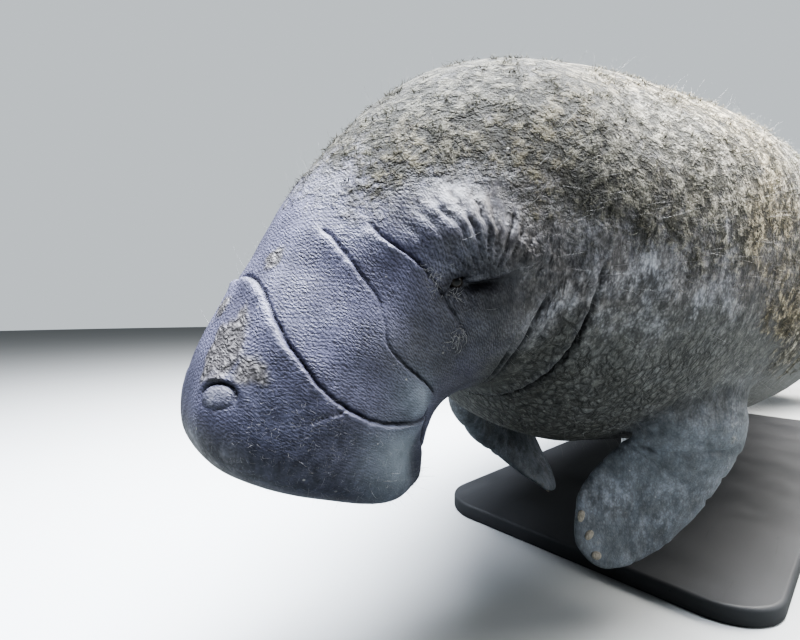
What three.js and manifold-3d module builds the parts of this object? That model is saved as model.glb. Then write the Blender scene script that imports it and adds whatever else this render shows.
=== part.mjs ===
// A life-size West Indian manatee, hovering with its head bowed, on a plain display stand.
// Millimetres, +Z up. The snout points along -X and the animal's left side faces -Y.
import * as THREE from "three";
import { mergeVertices } from "three/addons/utils/BufferGeometryUtils.js";
import Module from "manifold-3d";

const wasm = await Module();
wasm.setup();

// Driving dimensions of the animal.
const BODY_LENGTH = 3000; // from the face of the snout to the rear edge of the tail, along the back bone
const JOINT_GAP = 0.3; // clear space between neighbouring solids
const MUZZLE_RIM = 50; // depth of the rounded face of the snout
const MUZZLE_SQUARENESS = 2.7;
const TAIL_ROUNDING = 190; // length over which the rear edge of the tail closes

// Landmarks along the back bone, from the snout backwards. Each gives how far the line there points
// down, in degrees, the half width, and the height above and below the line.
const LANDMARKS = [
  { name: "muzzle face", at: 0, pitch: 71, half: 116, above: 114, below: 122, square: 2.6 },
  { name: "muzzle rim", at: 50, pitch: 69, half: 124, above: 128, below: 140, square: 2.4 },
  { name: "lip pads", at: 98, pitch: 64, half: 124, above: 137, below: 134, square: 2.2 },
  { name: "snout waist", at: 155, pitch: 54, half: 126, above: 138, below: 124, square: 2.2 },
  { name: "eyes", at: 225, pitch: 43, half: 142, above: 158, below: 148, square: 2.1 },
  { name: "cheeks", at: 295, pitch: 31, half: 172, above: 186, below: 186, square: 2 },
  { name: "nape", at: 375, pitch: 16, half: 212, above: 226, below: 236, square: 2 },
  { name: "neck", at: 460, pitch: 5, half: 252, above: 243, below: 276, square: 2 },
  { name: "shoulders", at: 590, pitch: -1, half: 298, above: 258, below: 310, square: 2 },
  { name: "chest", at: 810, pitch: -2, half: 338, above: 281, below: 332, square: 2.1 },
  { name: "full girth", at: 1150, pitch: -3, half: 350, above: 300, below: 332, square: 2.15 },
  { name: "flanks", at: 1500, pitch: -4, half: 324, above: 274, below: 294, square: 2.1 },
  { name: "loins", at: 1800, pitch: -7, half: 274, above: 230, below: 226, square: 2.05 },
  { name: "rump", at: 2060, pitch: -9, half: 216, above: 176, below: 158, square: 2 },
  { name: "tail stock", at: 2270, pitch: -9, half: 172, above: 122, below: 100, square: 1.9 },
  { name: "tail root", at: 2400, pitch: -7, half: 186, above: 82, below: 66, square: 1.8 },
  { name: "tail widening", at: 2520, pitch: -5, half: 252, above: 52, below: 42, square: 1.7 },
  { name: "tail widest", at: 2700, pitch: -3, half: 322, above: 32, below: 26, square: 1.7 },
  { name: "tail rear", at: 2810, pitch: -2, half: 326, above: 24, below: 20, square: 1.7 },
  { name: "tail edge", at: 3000, pitch: -1, half: 320, above: 18, below: 15, square: 1.7 },
];
const HEAD_TURN = 12; // degrees that the head turns to the animal's right
const TURN_FROM = 180; // the turn is made between these two places
const TURN_TO = 560;

// Creases of the hide, carved along points [place along the back bone, degrees round it from the top,
// strength], with a soft welt along each side. The other side of the body is the mirror image.
const CREASES = [
  {
    name: "snout fold",
    depth: 6,
    width: 4,
    welt: 3,
    path: [
      [149, 0, 0.7],
      [153, 9, 0.9],
      [150, 23, 1],
      [140, 35, 1],
      [128, 46, 1],
      [116, 58, 1],
      [102, 72, 1],
      [94, 88, 1.1],
      [98, 100, 1.2],
      [110, 112, 1.1],
      [124, 120, 0.6],
    ],
  },
  {
    name: "cheek fold",
    depth: 5,
    width: 3.5,
    welt: 2,
    path: [
      [206, 40, 0.3],
      [201, 49, 0.7],
      [194, 59, 0.8],
      [185, 70, 0.8],
      [172, 81, 0.9],
      [160, 90, 1],
      [154, 101, 1.2],
      [147, 116, 0.6],
    ],
  },
  {
    name: "fold under the eye",
    depth: 4,
    width: 3,
    welt: 2,
    path: [
      [232, 52, 0.3],
      [228, 62, 1],
      [223, 74, 1],
      [222, 84, 0.5],
    ],
  },
  {
    name: "neck fold",
    depth: 9,
    width: 6,
    welt: 7,
    path: [
      [418, 30, 0.2],
      [408, 48, 0.6],
      [389, 70, 0.8],
      [366, 98, 1],
      [345, 122, 1.2],
      [322, 150, 1.2],
      [314, 180, 1.2],
    ],
  },
  {
    name: "throat fold",
    depth: 7,
    width: 5,
    welt: 4,
    path: [
      [262, 118, 0.3],
      [250, 135, 1],
      [243, 158, 1.2],
      [241, 180, 1.2],
    ],
  },
];

// The cleft between the two pads of the upper lip: its ends along the back bone, its depth and width.
const CLEFT = { from: 6, to: 76, depth: 27, width: 15 };

// The lower jaw lies between the lip pads: half width of its sides, and how far its roof lies under the bone.
const JAW = [
  { at: 73, half: 34, roof: 88 },
  { at: 92, half: 66, roof: 80 },
  { at: 112, half: 94, roof: 70 },
  { at: 131, half: 128, roof: 60 },
  { at: 215, half: 190, roof: 52 },
];
const JAW_BOTTOM = 260;
const JAW_ARCH = 14;

// Rounded swellings, or hollows where the height is below zero, each round one place.
const SWELLINGS = [
  { name: "upper lip pad", at: [36, 120], reach: 34, height: 5 },
  { name: "slope behind the lip", at: [68, 134], reach: 42, height: -15 },
  { name: "nostril mound", at: [62, 30], reach: 30, height: 7 },
  { name: "snout pad", at: [70, 78], reach: 42, height: 5 },
  { name: "cheek pad", at: [150, 78], reach: 36, height: 7 },
  { name: "mouth corner lobe", at: [126, 109], reach: 18, height: 9 },
  { name: "brow", at: [262, 72], reach: 26, height: 9 },
  { name: "eye hollow", at: [241, 87], reach: 20, height: -12 },
  { name: "jowl", at: [262, 112], reach: 40, height: 8 },
  { name: "chin", at: [150, 180], reach: 46, height: 8 },
  { name: "shoulder blade", at: [640, 62], reach: 110, height: 10 },
  { name: "shoulder hollow", at: [470, 55], reach: 70, height: -8 },
  { name: "armpit", at: [770, 140], reach: 60, height: -12 },
];

const RAD = Math.PI / 180;

// A smooth curve through (xs, ys) that doesn't overshoot between its points.
function smoothThrough(xs, ys) {
  const n = xs.length;
  const slope = xs.slice(1).map((x, i) => (ys[i + 1] - ys[i]) / (x - xs[i]));
  const tangent = ys.map((_, i) => {
    if (i === 0) return slope[0];
    if (i === n - 1) return slope[n - 2];
    const [a, b] = [slope[i - 1], slope[i]];
    return a * b <= 0 ? 0 : (2 * a * b) / (a + b);
  });
  return (x) => {
    let i = 0;
    while (i < n - 2 && x > xs[i + 1]) i++;
    const h = xs[i + 1] - xs[i];
    const t = Math.min(Math.max((x - xs[i]) / h, 0), 1);
    const [t2, t3] = [t * t, t * t * t];
    return (
      (2 * t3 - 3 * t2 + 1) * ys[i] +
      (t3 - 2 * t2 + t) * h * tangent[i] +
      (3 * t2 - 2 * t3) * ys[i + 1] +
      (t3 - t2) * h * tangent[i + 1]
    );
  };
}

const along = LANDMARKS.map((m) => m.at);
const profile = (key) =>
  smoothThrough(
    along,
    LANDMARKS.map((m) => m[key]),
  );
const pitchAt = profile("pitch");
const halfAt = profile("half");
const aboveAt = profile("above");
const belowAt = profile("below");
const squareAt = profile("square");

const turnAt = (s) => HEAD_TURN * (1 - THREE.MathUtils.smoothstep(s, TURN_FROM, TURN_TO));

// The directions across the body at s: left, up from the back bone, and backwards along it.
function directions(s) {
  const [p, h] = [pitchAt(s) * RAD, turnAt(s) * RAD];
  const [sp, cp, sh, ch] = [Math.sin(p), Math.cos(p), Math.sin(h), Math.cos(h)];
  return {
    left: new THREE.Vector3(-sh, -ch, 0),
    up: new THREE.Vector3(-sp * ch, sp * sh, cp),
    back: new THREE.Vector3(cp * ch, -cp * sh, sp),
  };
}

// The back bone, walked from the snout backwards in short steps.
const STEP = 5;
const bone = [new THREE.Vector3(0, 0, 0)];
for (let s = 0; s < BODY_LENGTH; s += STEP)
  bone.push(bone[bone.length - 1].clone().addScaledVector(directions(s + STEP / 2).back, STEP));
function boneAt(s) {
  const i = Math.min(Math.floor(s / STEP), bone.length - 2);
  return bone[i].clone().lerp(bone[i + 1], s / STEP - i);
}

// How much of the full section is left near either end: 1 between the two rounded ends.
function closing(s) {
  if (s < MUZZLE_RIM) {
    const t = 1 - s / MUZZLE_RIM;
    return (1 - t ** MUZZLE_SQUARENESS) ** (1 / MUZZLE_SQUARENESS);
  }
  const t = Math.max(0, (s - (BODY_LENGTH - TAIL_ROUNDING)) / TAIL_ROUNDING);
  return Math.sqrt(Math.max(0, 1 - t * t));
}

// A point of the plain body: s along the back bone, a round it from the top towards the left.
function plainBody(s, a) {
  const c = closing(s);
  const { left, up } = directions(s);
  const bent = (x) => Math.sign(x) * Math.abs(x) ** (2 / squareAt(s));
  const [across, rise] = [bent(Math.sin(a)), bent(Math.cos(a))];
  return boneAt(s)
    .addScaledVector(left, halfAt(s) * c * across)
    .addScaledVector(up, (rise > 0 ? aboveAt(s) : belowAt(s)) * c * rise);
}

// The outward direction of the plain body's surface.
function outward(s, a) {
  const back = plainBody(Math.min(s + 1, BODY_LENGTH - 1), a).sub(plainBody(Math.max(s - 1, 0.1), a));
  const round = plainBody(s, a + 0.01).sub(plainBody(s, a - 0.01));
  return round.cross(back).normalize();
}

// The line of the mouth runs where the jaw's sides and its front come out of the body.
function mouthLine() {
  const exits = JAW.slice(0, -1).map(({ at, half, roof }) => {
    const { left, up } = directions(at);
    const degrees = span(90, 180, 0.5).find((a) => {
      const p = plainBody(at, a * RAD).sub(boneAt(at));
      return p.dot(left) < half && p.dot(up) < -roof;
    });
    return [at, degrees, 1];
  });
  return [...exits.reverse(), [JAW[0].at, 180, 1]];
}
CREASES.push({ name: "line of the mouth", depth: 7, width: 5, welt: 1, path: mouthLine() });

// The centre line of a crease: each point has its place in space, its strength, and its own s and a.
function creaseLine(path, steps) {
  const line = new THREE.CatmullRomCurve3(path.map(([s, a, strength]) => new THREE.Vector3(s, a, 100 * strength)));
  return line.getPoints(steps).map(({ x, y, z }) => ({ s: x, a: y * RAD, strength: z / 100 }));
}
for (const crease of CREASES)
  crease.points = creaseLine(crease.path, 24).map((m) => ({ ...m, at: plainBody(m.s, m.a) }));
for (const swelling of SWELLINGS) swelling.centre = plainBody(swelling.at[0], swelling.at[1] * RAD);

const bell = (x) => Math.exp(-x * x);
const WELT_REACH = 18;

// Height of the hide over the plain body, before the creases are carved.
function relief(s, a) {
  const folded = Math.acos(Math.cos(a));
  const p = plainBody(s, folded);
  let height = 0;
  for (const { points, welt } of CREASES) {
    const near = points.reduce((best, m) => (m.at.distanceToSquared(p) < best.at.distanceToSquared(p) ? m : best));
    height += welt * near.strength * bell(near.at.distanceTo(p) / WELT_REACH);
  }
  for (const { centre, reach, height: rise } of SWELLINGS) height += rise * bell(p.distanceTo(centre) / reach);
  const inCleft = bell(((Math.PI - folded) * belowAt(s)) / CLEFT.width);
  const { smoothstep } = THREE.MathUtils;
  const ends = smoothstep(s, CLEFT.from, CLEFT.from + 30) * (1 - smoothstep(s, CLEFT.to, CLEFT.to + 12));
  return height - CLEFT.depth * inCleft * ends;
}

// A point of the hide, or of a shell that stands off it by clear.
function body(s, a, clear = 0) {
  return plainBody(s, a).addScaledVector(outward(s, a), relief(s, a) + clear);
}

// A closed geometry from rings of points, each ring running the same way round.
function loft(rings) {
  const position = [];
  const index = [];
  const around = rings[0].length;
  rings.flat().forEach((p) => position.push(p.x, p.y, p.z));
  for (let i = 0; i < rings.length - 1; i++)
    for (let j = 0; j < around; j++) {
      const k = (j + 1) % around;
      const [p, q] = [i * around, (i + 1) * around];
      index.push(p + j, p + k, q + k, p + j, q + k, q + j);
    }
  for (const row of [0, rings.length - 1]) {
    const centre = new THREE.Vector3();
    rings[row].forEach((p) => centre.addScaledVector(p, 1 / around));
    const c = position.length / 3;
    position.push(centre.x, centre.y, centre.z);
    for (let j = 0; j < around; j++) {
      const [p, q] = [row * around + j, row * around + ((j + 1) % around)];
      index.push(...(row === 0 ? [c, q, p] : [c, p, q]));
    }
  }
  const geometry = new THREE.BufferGeometry();
  geometry.setAttribute("position", new THREE.Float32BufferAttribute(position, 3));
  geometry.setIndex(index);
  return geometry;
}

function solid(geometry) {
  const g = geometry.clone();
  g.deleteAttribute("normal");
  g.deleteAttribute("uv");
  const merged = mergeVertices(g, 1e-3);
  return new wasm.Manifold(
    new wasm.Mesh({
      numProp: 3,
      vertProperties: new Float32Array(merged.attributes.position.array),
      triVerts: new Uint32Array(merged.index.array),
    }),
  );
}

function asGeometry(manifold) {
  const mesh = manifold.getMesh();
  const geometry = new THREE.BufferGeometry();
  geometry.setAttribute("position", new THREE.BufferAttribute(mesh.vertProperties, 3));
  geometry.setIndex(new THREE.BufferAttribute(mesh.triVerts, 1));
  return geometry;
}

// The largest closed surface of a cut solid: loose scraps and sealed hollows are dropped. Merging its
// vertices can part a few more scraps, so it is sorted out twice.
function largest(manifold) {
  const biggest = (m) => m.decompose().sort((a, b) => b.volume() - a.volume())[0];
  return asGeometry(biggest(solid(asGeometry(biggest(manifold)))));
}

function span(from, to, step) {
  const n = Math.max(1, Math.round((to - from) / step));
  return Array.from({ length: n + 1 }, (_, i) => from + ((to - from) * i) / n);
}

const AROUND = 48; // points in each ring of the body
function length(stations, clear = 0) {
  return loft(
    stations.map((s) => Array.from({ length: AROUND }, (_, j) => body(s, (2 * Math.PI * j) / AROUND, clear))),
  );
}

// An egg-shaped solid at a place on the hide: its half sizes run outwards, along the body and round it.
function egg(s, a, [out, ahead, aside], sink = 0, sides = 12) {
  const z = outward(s, a);
  const x = plainBody(s + 2, a).sub(plainBody(s - 2, a)).normalize();
  const y = z.clone().cross(x).normalize();
  const geometry = new THREE.SphereGeometry(1, sides, Math.round(sides * 0.6));
  geometry.scale(ahead, aside, out);
  geometry.applyMatrix4(
    new THREE.Matrix4().makeBasis(x, y, z).setPosition(body(s, a).addScaledVector(z, -sink)),
  );
  return geometry;
}

// The solids that carve a crease: one on each side, or one right round where the crease meets the
// middle of the body.
const GROOVE_SIDES = 5;
function grooves({ path, depth, width }) {
  const last = path[path.length - 1];
  const mirror = (points) => points.map(([s, a, strength]) => [s, -a, strength]);
  const joined = (points, turn) => [
    ...points,
    ...points.slice(0, -1).map(([s, a, strength]) => [s, turn - a, strength]).reverse(),
  ];
  const paths =
    last[1] === 180
      ? [joined(path, 360)]
      : path[0][1] === 0
        ? [joined([...path].reverse(), 0)]
        : [path, mirror(path)];
  return paths.map((points) => {
    const line = creaseLine(points, Math.round(points.length * 1.4));
    const rings = line.map(({ s, a, strength }, i) => {
      const centre = body(s, a);
      const next = line[Math.min(i + 1, line.length - 1)];
      const before = line[Math.max(i - 1, 0)];
      const ahead = plainBody(next.s, next.a).sub(plainBody(before.s, before.a)).normalize();
      const out = outward(s, a);
      const across = out.clone().cross(ahead).normalize();
      return Array.from({ length: GROOVE_SIDES }, (_, j) => {
        const turn = (2 * Math.PI * j) / GROOVE_SIDES;
        return centre
          .clone()
          .addScaledVector(across, width * (0.4 + 0.6 * strength) * Math.cos(turn))
          .addScaledVector(out, depth * strength * Math.sin(turn));
      });
    });
    return solid(loft(rings));
  });
}
const carve = (piece) => CREASES.flatMap(grooves).reduce((left, groove) => left.subtract(groove), piece);

const group = new THREE.Group();
const hide = new THREE.MeshStandardMaterial({ color: 0x77747c, roughness: 0.8 });
const gloss = new THREE.MeshStandardMaterial({ color: 0x14110f, roughness: 0.1 });
const horn = new THREE.MeshStandardMaterial({ color: 0xb9ad97, roughness: 0.5 });
const paint = new THREE.MeshStandardMaterial({ color: 0x2b2d30, roughness: 0.6 });
const steel = new THREE.MeshStandardMaterial({ color: 0xa9adb0, roughness: 0.35, metalness: 1 });
function add(name, geometry, material) {
  const mesh = new THREE.Mesh(geometry, material);
  mesh.name = name;
  group.add(mesh);
}

// The whole front of the head, before the jaw, the nostrils and the eyes are parted from it.
const SNOUT_END = 205;
const HEAD_END = 400;
const snoutStations = [...span(0.2, 26, 5.2), ...span(36, SNOUT_END, 12)];
const frontOfHead = carve(solid(length(snoutStations)));

function jawBlock(clear) {
  const rings = JAW.map(({ at, half, roof }, i) => {
    const { left, up } = directions(at);
    const centre = boneAt(at - (i === 0 ? clear : 0));
    const arch = Array.from({ length: 9 }, (_, j) => {
      const t = 1 - j / 4;
      return [t * (half + clear), -roof + clear + JAW_ARCH * (1 - t * t)];
    });
    return [[half + clear, -JAW_BOTTOM], ...arch, [-half - clear, -JAW_BOTTOM]]
      .reverse()
      .map(([across, rise]) => centre.clone().addScaledVector(left, across).addScaledVector(up, rise));
  });
  return solid(loft(rings));
}

const NOSTRIL = { at: 68, around: 30 * RAD, pit: [12, 12, 15], plug: [13, 9, 12], plugSink: 7 };
let snout = frontOfHead.subtract(jawBlock(JOINT_GAP));
for (const side of [1, -1]) {
  const place = [NOSTRIL.at, side * NOSTRIL.around];
  snout = snout
    .subtract(solid(egg(...place, NOSTRIL.pit, 1)))
    .add(solid(egg(...place, NOSTRIL.plug, NOSTRIL.plugSink)));
}
add("snout", largest(snout), hide);
add("lower_jaw", largest(frontOfHead.intersect(jawBlock(0))), hide);

// The head behind it, with an eye in each socket and lids that leave a narrow slit over it.
const EYE = { at: 241, around: 87 * RAD, radius: 10.5, sink: 5.5, lids: [9, 19, 14], slit: [13, 10, 4.2] };
let head = carve(solid(length(span(SNOUT_END + JOINT_GAP, HEAD_END, 15))));
for (const [side, word] of [
  [1, "left"],
  [-1, "right"],
]) {
  const place = [EYE.at, side * EYE.around];
  const ball = (radius) => egg(...place, [radius, radius, radius], EYE.sink, 14);
  head = head
    .add(solid(egg(...place, EYE.lids, 2)))
    .subtract(solid(ball(EYE.radius + JOINT_GAP)))
    .subtract(solid(egg(...place, EYE.slit, -6)));
  add(`eye_${word}`, ball(EYE.radius), gloss);
}
add("head", largest(head), hide);

// The lengths of the trunk and the tail, each parted from the next by a thin cut.
const LENGTHS = [
  { name: "neck", to: 500, step: 20 },
  { name: "chest", to: 900, step: 50 },
  { name: "belly", to: 1450, step: 90 },
  { name: "loins", to: 2060, step: 76 },
  { name: "tail_stock", to: 2340, step: 35 },
  { name: "tail_paddle", to: BODY_LENGTH - 2, step: 46 },
];
let from = HEAD_END;
const stations = {};
for (const { name, to, step } of LENGTHS) {
  stations[name] = span(from + JOINT_GAP, to, step);
  const piece = length(stations[name]);
  add(name, name === "neck" ? largest(carve(solid(piece))) : piece, hide);
  from = to;
}
// What is cut to fit against a length of the trunk is cut by this shell, a joint's gap outside it.
const shellOf = (name) => solid(length(stations[name], JOINT_GAP));

// A flipper's cross sections, from deep in the chest to the tip: half of each breadth and thickness,
// and its place from the shoulder point as [back, out, down]. The left one reaches forward and the
// right one hangs back.
const SHOULDER = { at: 655, around: 140 * RAD };
const FLIPPER = [
  { name: "root", breadth: 100, thickness: 62, left: [18, -70, -60], right: [4, -70, -60] },
  { name: "armpit", breadth: 96, thickness: 50, left: [6, -6, 8], right: [10, -6, 8] },
  { name: "upper arm", breadth: 87, thickness: 36, left: [-4, -8, 46], right: [34, -8, 48] },
  { name: "elbow", breadth: 83, thickness: 27, left: [-16, -24, 84], right: [70, -24, 90] },
  { name: "wrist", breadth: 82, thickness: 20, left: [-44, -50, 124], right: [102, -48, 132] },
  { name: "palm", breadth: 76, thickness: 14, left: [-74, -72, 150], right: [128, -74, 174] },
  { name: "nails", breadth: 56, thickness: 9, left: [-112, -92, 172], right: [146, -98, 212] },
  { name: "tip", breadth: 16, thickness: 5, left: [-140, -103, 182], right: [156, -112, 236] },
];
const FLIPPER_RINGS = 14;
const FLIPPER_AROUND = 18;
const stationNumbers = FLIPPER.map((_, i) => i);
const breadthAt = smoothThrough(
  stationNumbers,
  FLIPPER.map((m) => m.breadth),
);
const thicknessAt = smoothThrough(
  stationNumbers,
  FLIPPER.map((m) => m.thickness),
);
// The surface of the flipper on one side (1 left, -1 right): t counts its stations, and a runs round it
// from its outer face towards its rear edge.
function flipperPoint(side, t, a) {
  const shoulder = plainBody(SHOULDER.at, side * SHOULDER.around);
  const places = FLIPPER.map(({ left, right }) => (side > 0 ? left : right));
  const line = new THREE.CatmullRomCurve3(
    places.map(([back, out, down]) => new THREE.Vector3(back, -side * out, -down).add(shoulder)),
    false,
    "centripetal",
  );
  const u = t / (FLIPPER.length - 1);
  const tangent = line.getTangent(u);
  const face = new THREE.Vector3(-0.5, -side, 0.15).projectOnPlane(tangent).normalize();
  const edge = face.clone().cross(tangent).multiplyScalar(side).normalize();
  return line
    .getPoint(u)
    .addScaledVector(face, thicknessAt(t) * Math.cos(a))
    .addScaledVector(edge, breadthAt(t) * Math.sin(a));
}
const NAIL = { half: [3.2, 8, 6], at: 6.35, around: [-50, -8, 34] };
for (const [side, word] of [
  [1, "left"],
  [-1, "right"],
]) {
  const rings = span(0, FLIPPER.length - 1, (FLIPPER.length - 1) / FLIPPER_RINGS).map((t) =>
    Array.from({ length: FLIPPER_AROUND }, (_, j) =>
      flipperPoint(side, t, (side * -2 * Math.PI * j) / FLIPPER_AROUND),
    ),
  );
  let flipper = solid(loft(rings)).subtract(shellOf("chest"));
  NAIL.around.forEach((angle, i) => {
    const a = angle * RAD;
    const p = flipperPoint(side, NAIL.at, a);
    const z = p.clone().sub(flipperPoint(side, NAIL.at, Math.PI - a)).normalize();
    const x = flipperPoint(side, NAIL.at + 0.2, a).sub(p).projectOnPlane(z).normalize();
    const nail = (clear) => {
      const geometry = new THREE.SphereGeometry(1, 10, 6);
      geometry.scale(NAIL.half[1] + clear, NAIL.half[2] + clear, NAIL.half[0] + clear);
      return geometry.applyMatrix4(new THREE.Matrix4().makeBasis(x, z.clone().cross(x), z).setPosition(p));
    };
    flipper = flipper.subtract(solid(nail(JOINT_GAP)));
    add(`nail_${word}_${i + 1}`, nail(0), horn);
  });
  add(`flipper_${word}`, largest(flipper), hide);
}

// The display stand: a flat base with two short rods up to the belly.
const CLEARANCE = 30; // from the top of the base to the lowest point of the animal
const BASE = { from: 520, to: 2060, half: 300, corner: 90, height: 30, bevel: 6 };
const ROD = { radius: 26, foot: 62, footHeight: 14, places: { front: ["belly", 1000], rear: ["loins", 1700] } };
const lowest = new THREE.Box3().setFromObject(group).min.z;
const baseTop = lowest - CLEARANCE;
const trunkSide = boneAt(1500).y;

function baseOutline(inset, z) {
  const corners = [
    [BASE.to, BASE.half, 0],
    [BASE.from, BASE.half, 90],
    [BASE.from, -BASE.half, 180],
    [BASE.to, -BASE.half, 270],
  ];
  return corners.flatMap(([x, y, turn]) =>
    span(turn, turn + 90, 15).map((degrees) => {
      const r = BASE.corner - inset;
      const centreX = x + (x === BASE.to ? -BASE.corner : BASE.corner);
      const centreY = y - Math.sign(y) * BASE.corner;
      return new THREE.Vector3(
        centreX + r * Math.cos(degrees * RAD),
        trunkSide + centreY + r * Math.sin(degrees * RAD),
        z,
      );
    }),
  );
}
add(
  "stand_base",
  loft([
    baseOutline(0, baseTop - BASE.height),
    baseOutline(0, baseTop - BASE.bevel),
    baseOutline(BASE.bevel, baseTop),
  ]),
  paint,
);

for (const [word, [name, place]] of Object.entries(ROD.places)) {
  const profile = [
    [0, 0],
    [ROD.foot, 0],
    [ROD.foot, ROD.footHeight],
    [ROD.radius, ROD.footHeight],
    [ROD.radius, 500],
    [0, 500],
  ].map(([r, z]) => new THREE.Vector2(r, z));
  const rod = new THREE.LatheGeometry(profile, 32);
  rod.rotateX(Math.PI / 2);
  rod.translate(boneAt(place).x, trunkSide, baseTop + JOINT_GAP);
  add(`stand_rod_${word}`, largest(solid(rod).subtract(shellOf(name))), steel);
}

// The part stands on the underside of its base, under the middle of the whole.
const box = new THREE.Box3().setFromObject(group);
const middle = box.getCenter(new THREE.Vector3());
for (const mesh of group.children) {
  mesh.geometry.translate(-middle.x, -middle.y, -box.min.z);
  mesh.geometry.computeVertexNormals();
}

export default group;
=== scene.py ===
import itertools
import logging
import math
from dataclasses import dataclass, field
from enum import Enum
from typing import Callable, Sequence

import bpy
import numpy as np
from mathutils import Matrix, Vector


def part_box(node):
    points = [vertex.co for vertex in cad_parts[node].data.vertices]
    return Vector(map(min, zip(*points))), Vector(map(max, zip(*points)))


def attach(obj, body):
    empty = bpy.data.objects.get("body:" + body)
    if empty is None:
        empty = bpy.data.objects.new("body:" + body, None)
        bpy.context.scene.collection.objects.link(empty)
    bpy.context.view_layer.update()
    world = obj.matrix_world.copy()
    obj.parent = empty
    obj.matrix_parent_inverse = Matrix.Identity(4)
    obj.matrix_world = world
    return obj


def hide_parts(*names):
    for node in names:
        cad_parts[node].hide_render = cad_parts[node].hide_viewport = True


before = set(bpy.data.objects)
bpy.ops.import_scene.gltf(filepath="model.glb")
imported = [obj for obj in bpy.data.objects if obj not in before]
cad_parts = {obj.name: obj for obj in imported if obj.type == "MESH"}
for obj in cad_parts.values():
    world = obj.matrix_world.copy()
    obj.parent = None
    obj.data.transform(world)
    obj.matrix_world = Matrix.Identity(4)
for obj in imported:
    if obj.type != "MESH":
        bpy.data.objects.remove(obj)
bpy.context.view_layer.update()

log = logging.getLogger("manatee")
MM = 0.001
Array = np.ndarray


class Slot(Enum):
    """The record's material slots."""

    HIDE = "hide"
    EYE = "eye"
    NAIL = "nail"
    BOARD = "stand_board"
    STEEL = "stand_steel"


class Side(Enum):
    """The two sides of the animal, with the sign of the angle round its body."""

    LEFT = 1
    RIGHT = -1

    @property
    def word(self) -> str:
        """Returns the side's name in lower case, as the CAD nodes spell it."""
        return self.name.lower()


def smoothstep(x: Array, low: float, high: float) -> Array:
    """Rises smoothly from 0 to 1.

    Args:
        x: Values to ease.
        low: Where the rise starts.
        high: Where it ends.

    Returns:
        The eased values.
    """
    t = np.clip((x - low) / (high - low), 0.0, 1.0)
    return t * t * (3 - 2 * t)


def bell(x: Array) -> Array:
    """Returns a bell curve of height 1 whose value at 1 is 1/e."""
    return np.exp(-np.square(x))


def unit(v: Array) -> Array:
    """Returns vectors scaled to length 1."""
    return v / np.maximum(np.linalg.norm(v, axis=-1, keepdims=True), 1e-12)


def dot(a: Array, b: Array) -> Array:
    """Returns the dot products of two rows of vectors."""
    return np.sum(a * b, axis=-1)


def lumps(points: Array, size: float, seed: int) -> Array:
    """Smooth random heights in space.

    Args:
        points: Places, one row each.
        size: Distance from one lump to the next.
        seed: Which random field.

    Returns:
        A height between -1 and 1 for each place.
    """
    table = np.random.default_rng(seed).uniform(-1, 1, (32, 32, 32))
    q = points / size
    low = np.floor(q).astype(int)
    f = q - low
    f = f * f * (3 - 2 * f)
    total = np.zeros(len(points))
    for corner in itertools.product((0, 1), repeat=3):
        weight = np.prod(np.where(corner, f, 1 - f), axis=-1)
        j = (low + corner) % 32
        total += weight * table[j[:, 0], j[:, 1], j[:, 2]]
    return total


class SmoothCurve:
    """A smooth curve of one value that doesn't overshoot between its points."""

    def __init__(self, xs: Sequence[float], ys: Sequence[float]) -> None:
        """Args:
        xs: Places of the points, rising.
        ys: Values there.
        """
        self.xs, self.ys = np.array(xs, float), np.array(ys, float)
        slope = np.diff(self.ys) / np.diff(self.xs)
        a, b = slope[:-1], slope[1:]
        inner = np.where(a * b <= 0, 0, 2 * a * b / np.where(a * b <= 0, 1, a + b))
        self.tangents = np.concatenate([slope[:1], inner, slope[-1:]])

    def __call__(self, x: Array) -> Array:
        """Returns the curve's values at x."""
        i = np.clip(np.searchsorted(self.xs, x, side="left") - 1, 0, len(self.xs) - 2)
        h = self.xs[i + 1] - self.xs[i]
        t = np.clip((x - self.xs[i]) / h, 0, 1)
        t2, t3 = t * t, t * t * t
        start = (2 * t3 - 3 * t2 + 1) * self.ys[i] + (t3 - 2 * t2 + t) * h * self.tangents[i]
        return start + (3 * t2 - 2 * t3) * self.ys[i + 1] + (t3 - t2) * h * self.tangents[i + 1]


class SmoothLine:
    """A smooth line through points in space, paced evenly from one point to the next."""

    def __init__(self, points: Sequence[Sequence[float]]) -> None:
        """Args:
        points: The points, in order.
        """
        p = np.array(points, float)
        self.count = len(p)
        self.points = np.vstack([2 * p[0] - p[1], p, 2 * p[-1] - p[-2]])

    def __call__(self, t: Array) -> Array:
        """Returns the places on the line where t counts its points."""
        i = np.clip(np.floor(t).astype(int), 0, self.count - 2)
        w = (t - i)[..., None]
        p0, p1, p2, p3 = (self.points[i + k] for k in range(4))
        d0, d1, d2 = (
            np.sqrt(np.linalg.norm(b - a, axis=-1, keepdims=True)) for a, b in ((p0, p1), (p1, p2), (p2, p3))
        )
        m1 = ((p1 - p0) / d0 - (p2 - p0) / (d0 + d1) + (p2 - p1) / d1) * d1
        m2 = ((p2 - p1) / d1 - (p3 - p1) / (d1 + d2) + (p3 - p2) / d2) * d1
        c2, c3 = -3 * p1 + 3 * p2 - 2 * m1 - m2, 2 * p1 - 2 * p2 + m1 + m2
        return p1 + m1 * w + c2 * w**2 + c3 * w**3


@dataclass(frozen=True)
class Landmark:
    """A cross section of the body on its back bone, in millimetres and degrees."""

    name: str
    at: float
    pitch: float
    half: float
    above: float
    below: float
    square: float


@dataclass(frozen=True)
class Swelling:
    """A rounded swelling of the hide, or a hollow where its height is below zero."""

    name: str
    at: float
    around: float
    reach: float
    height: float


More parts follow.
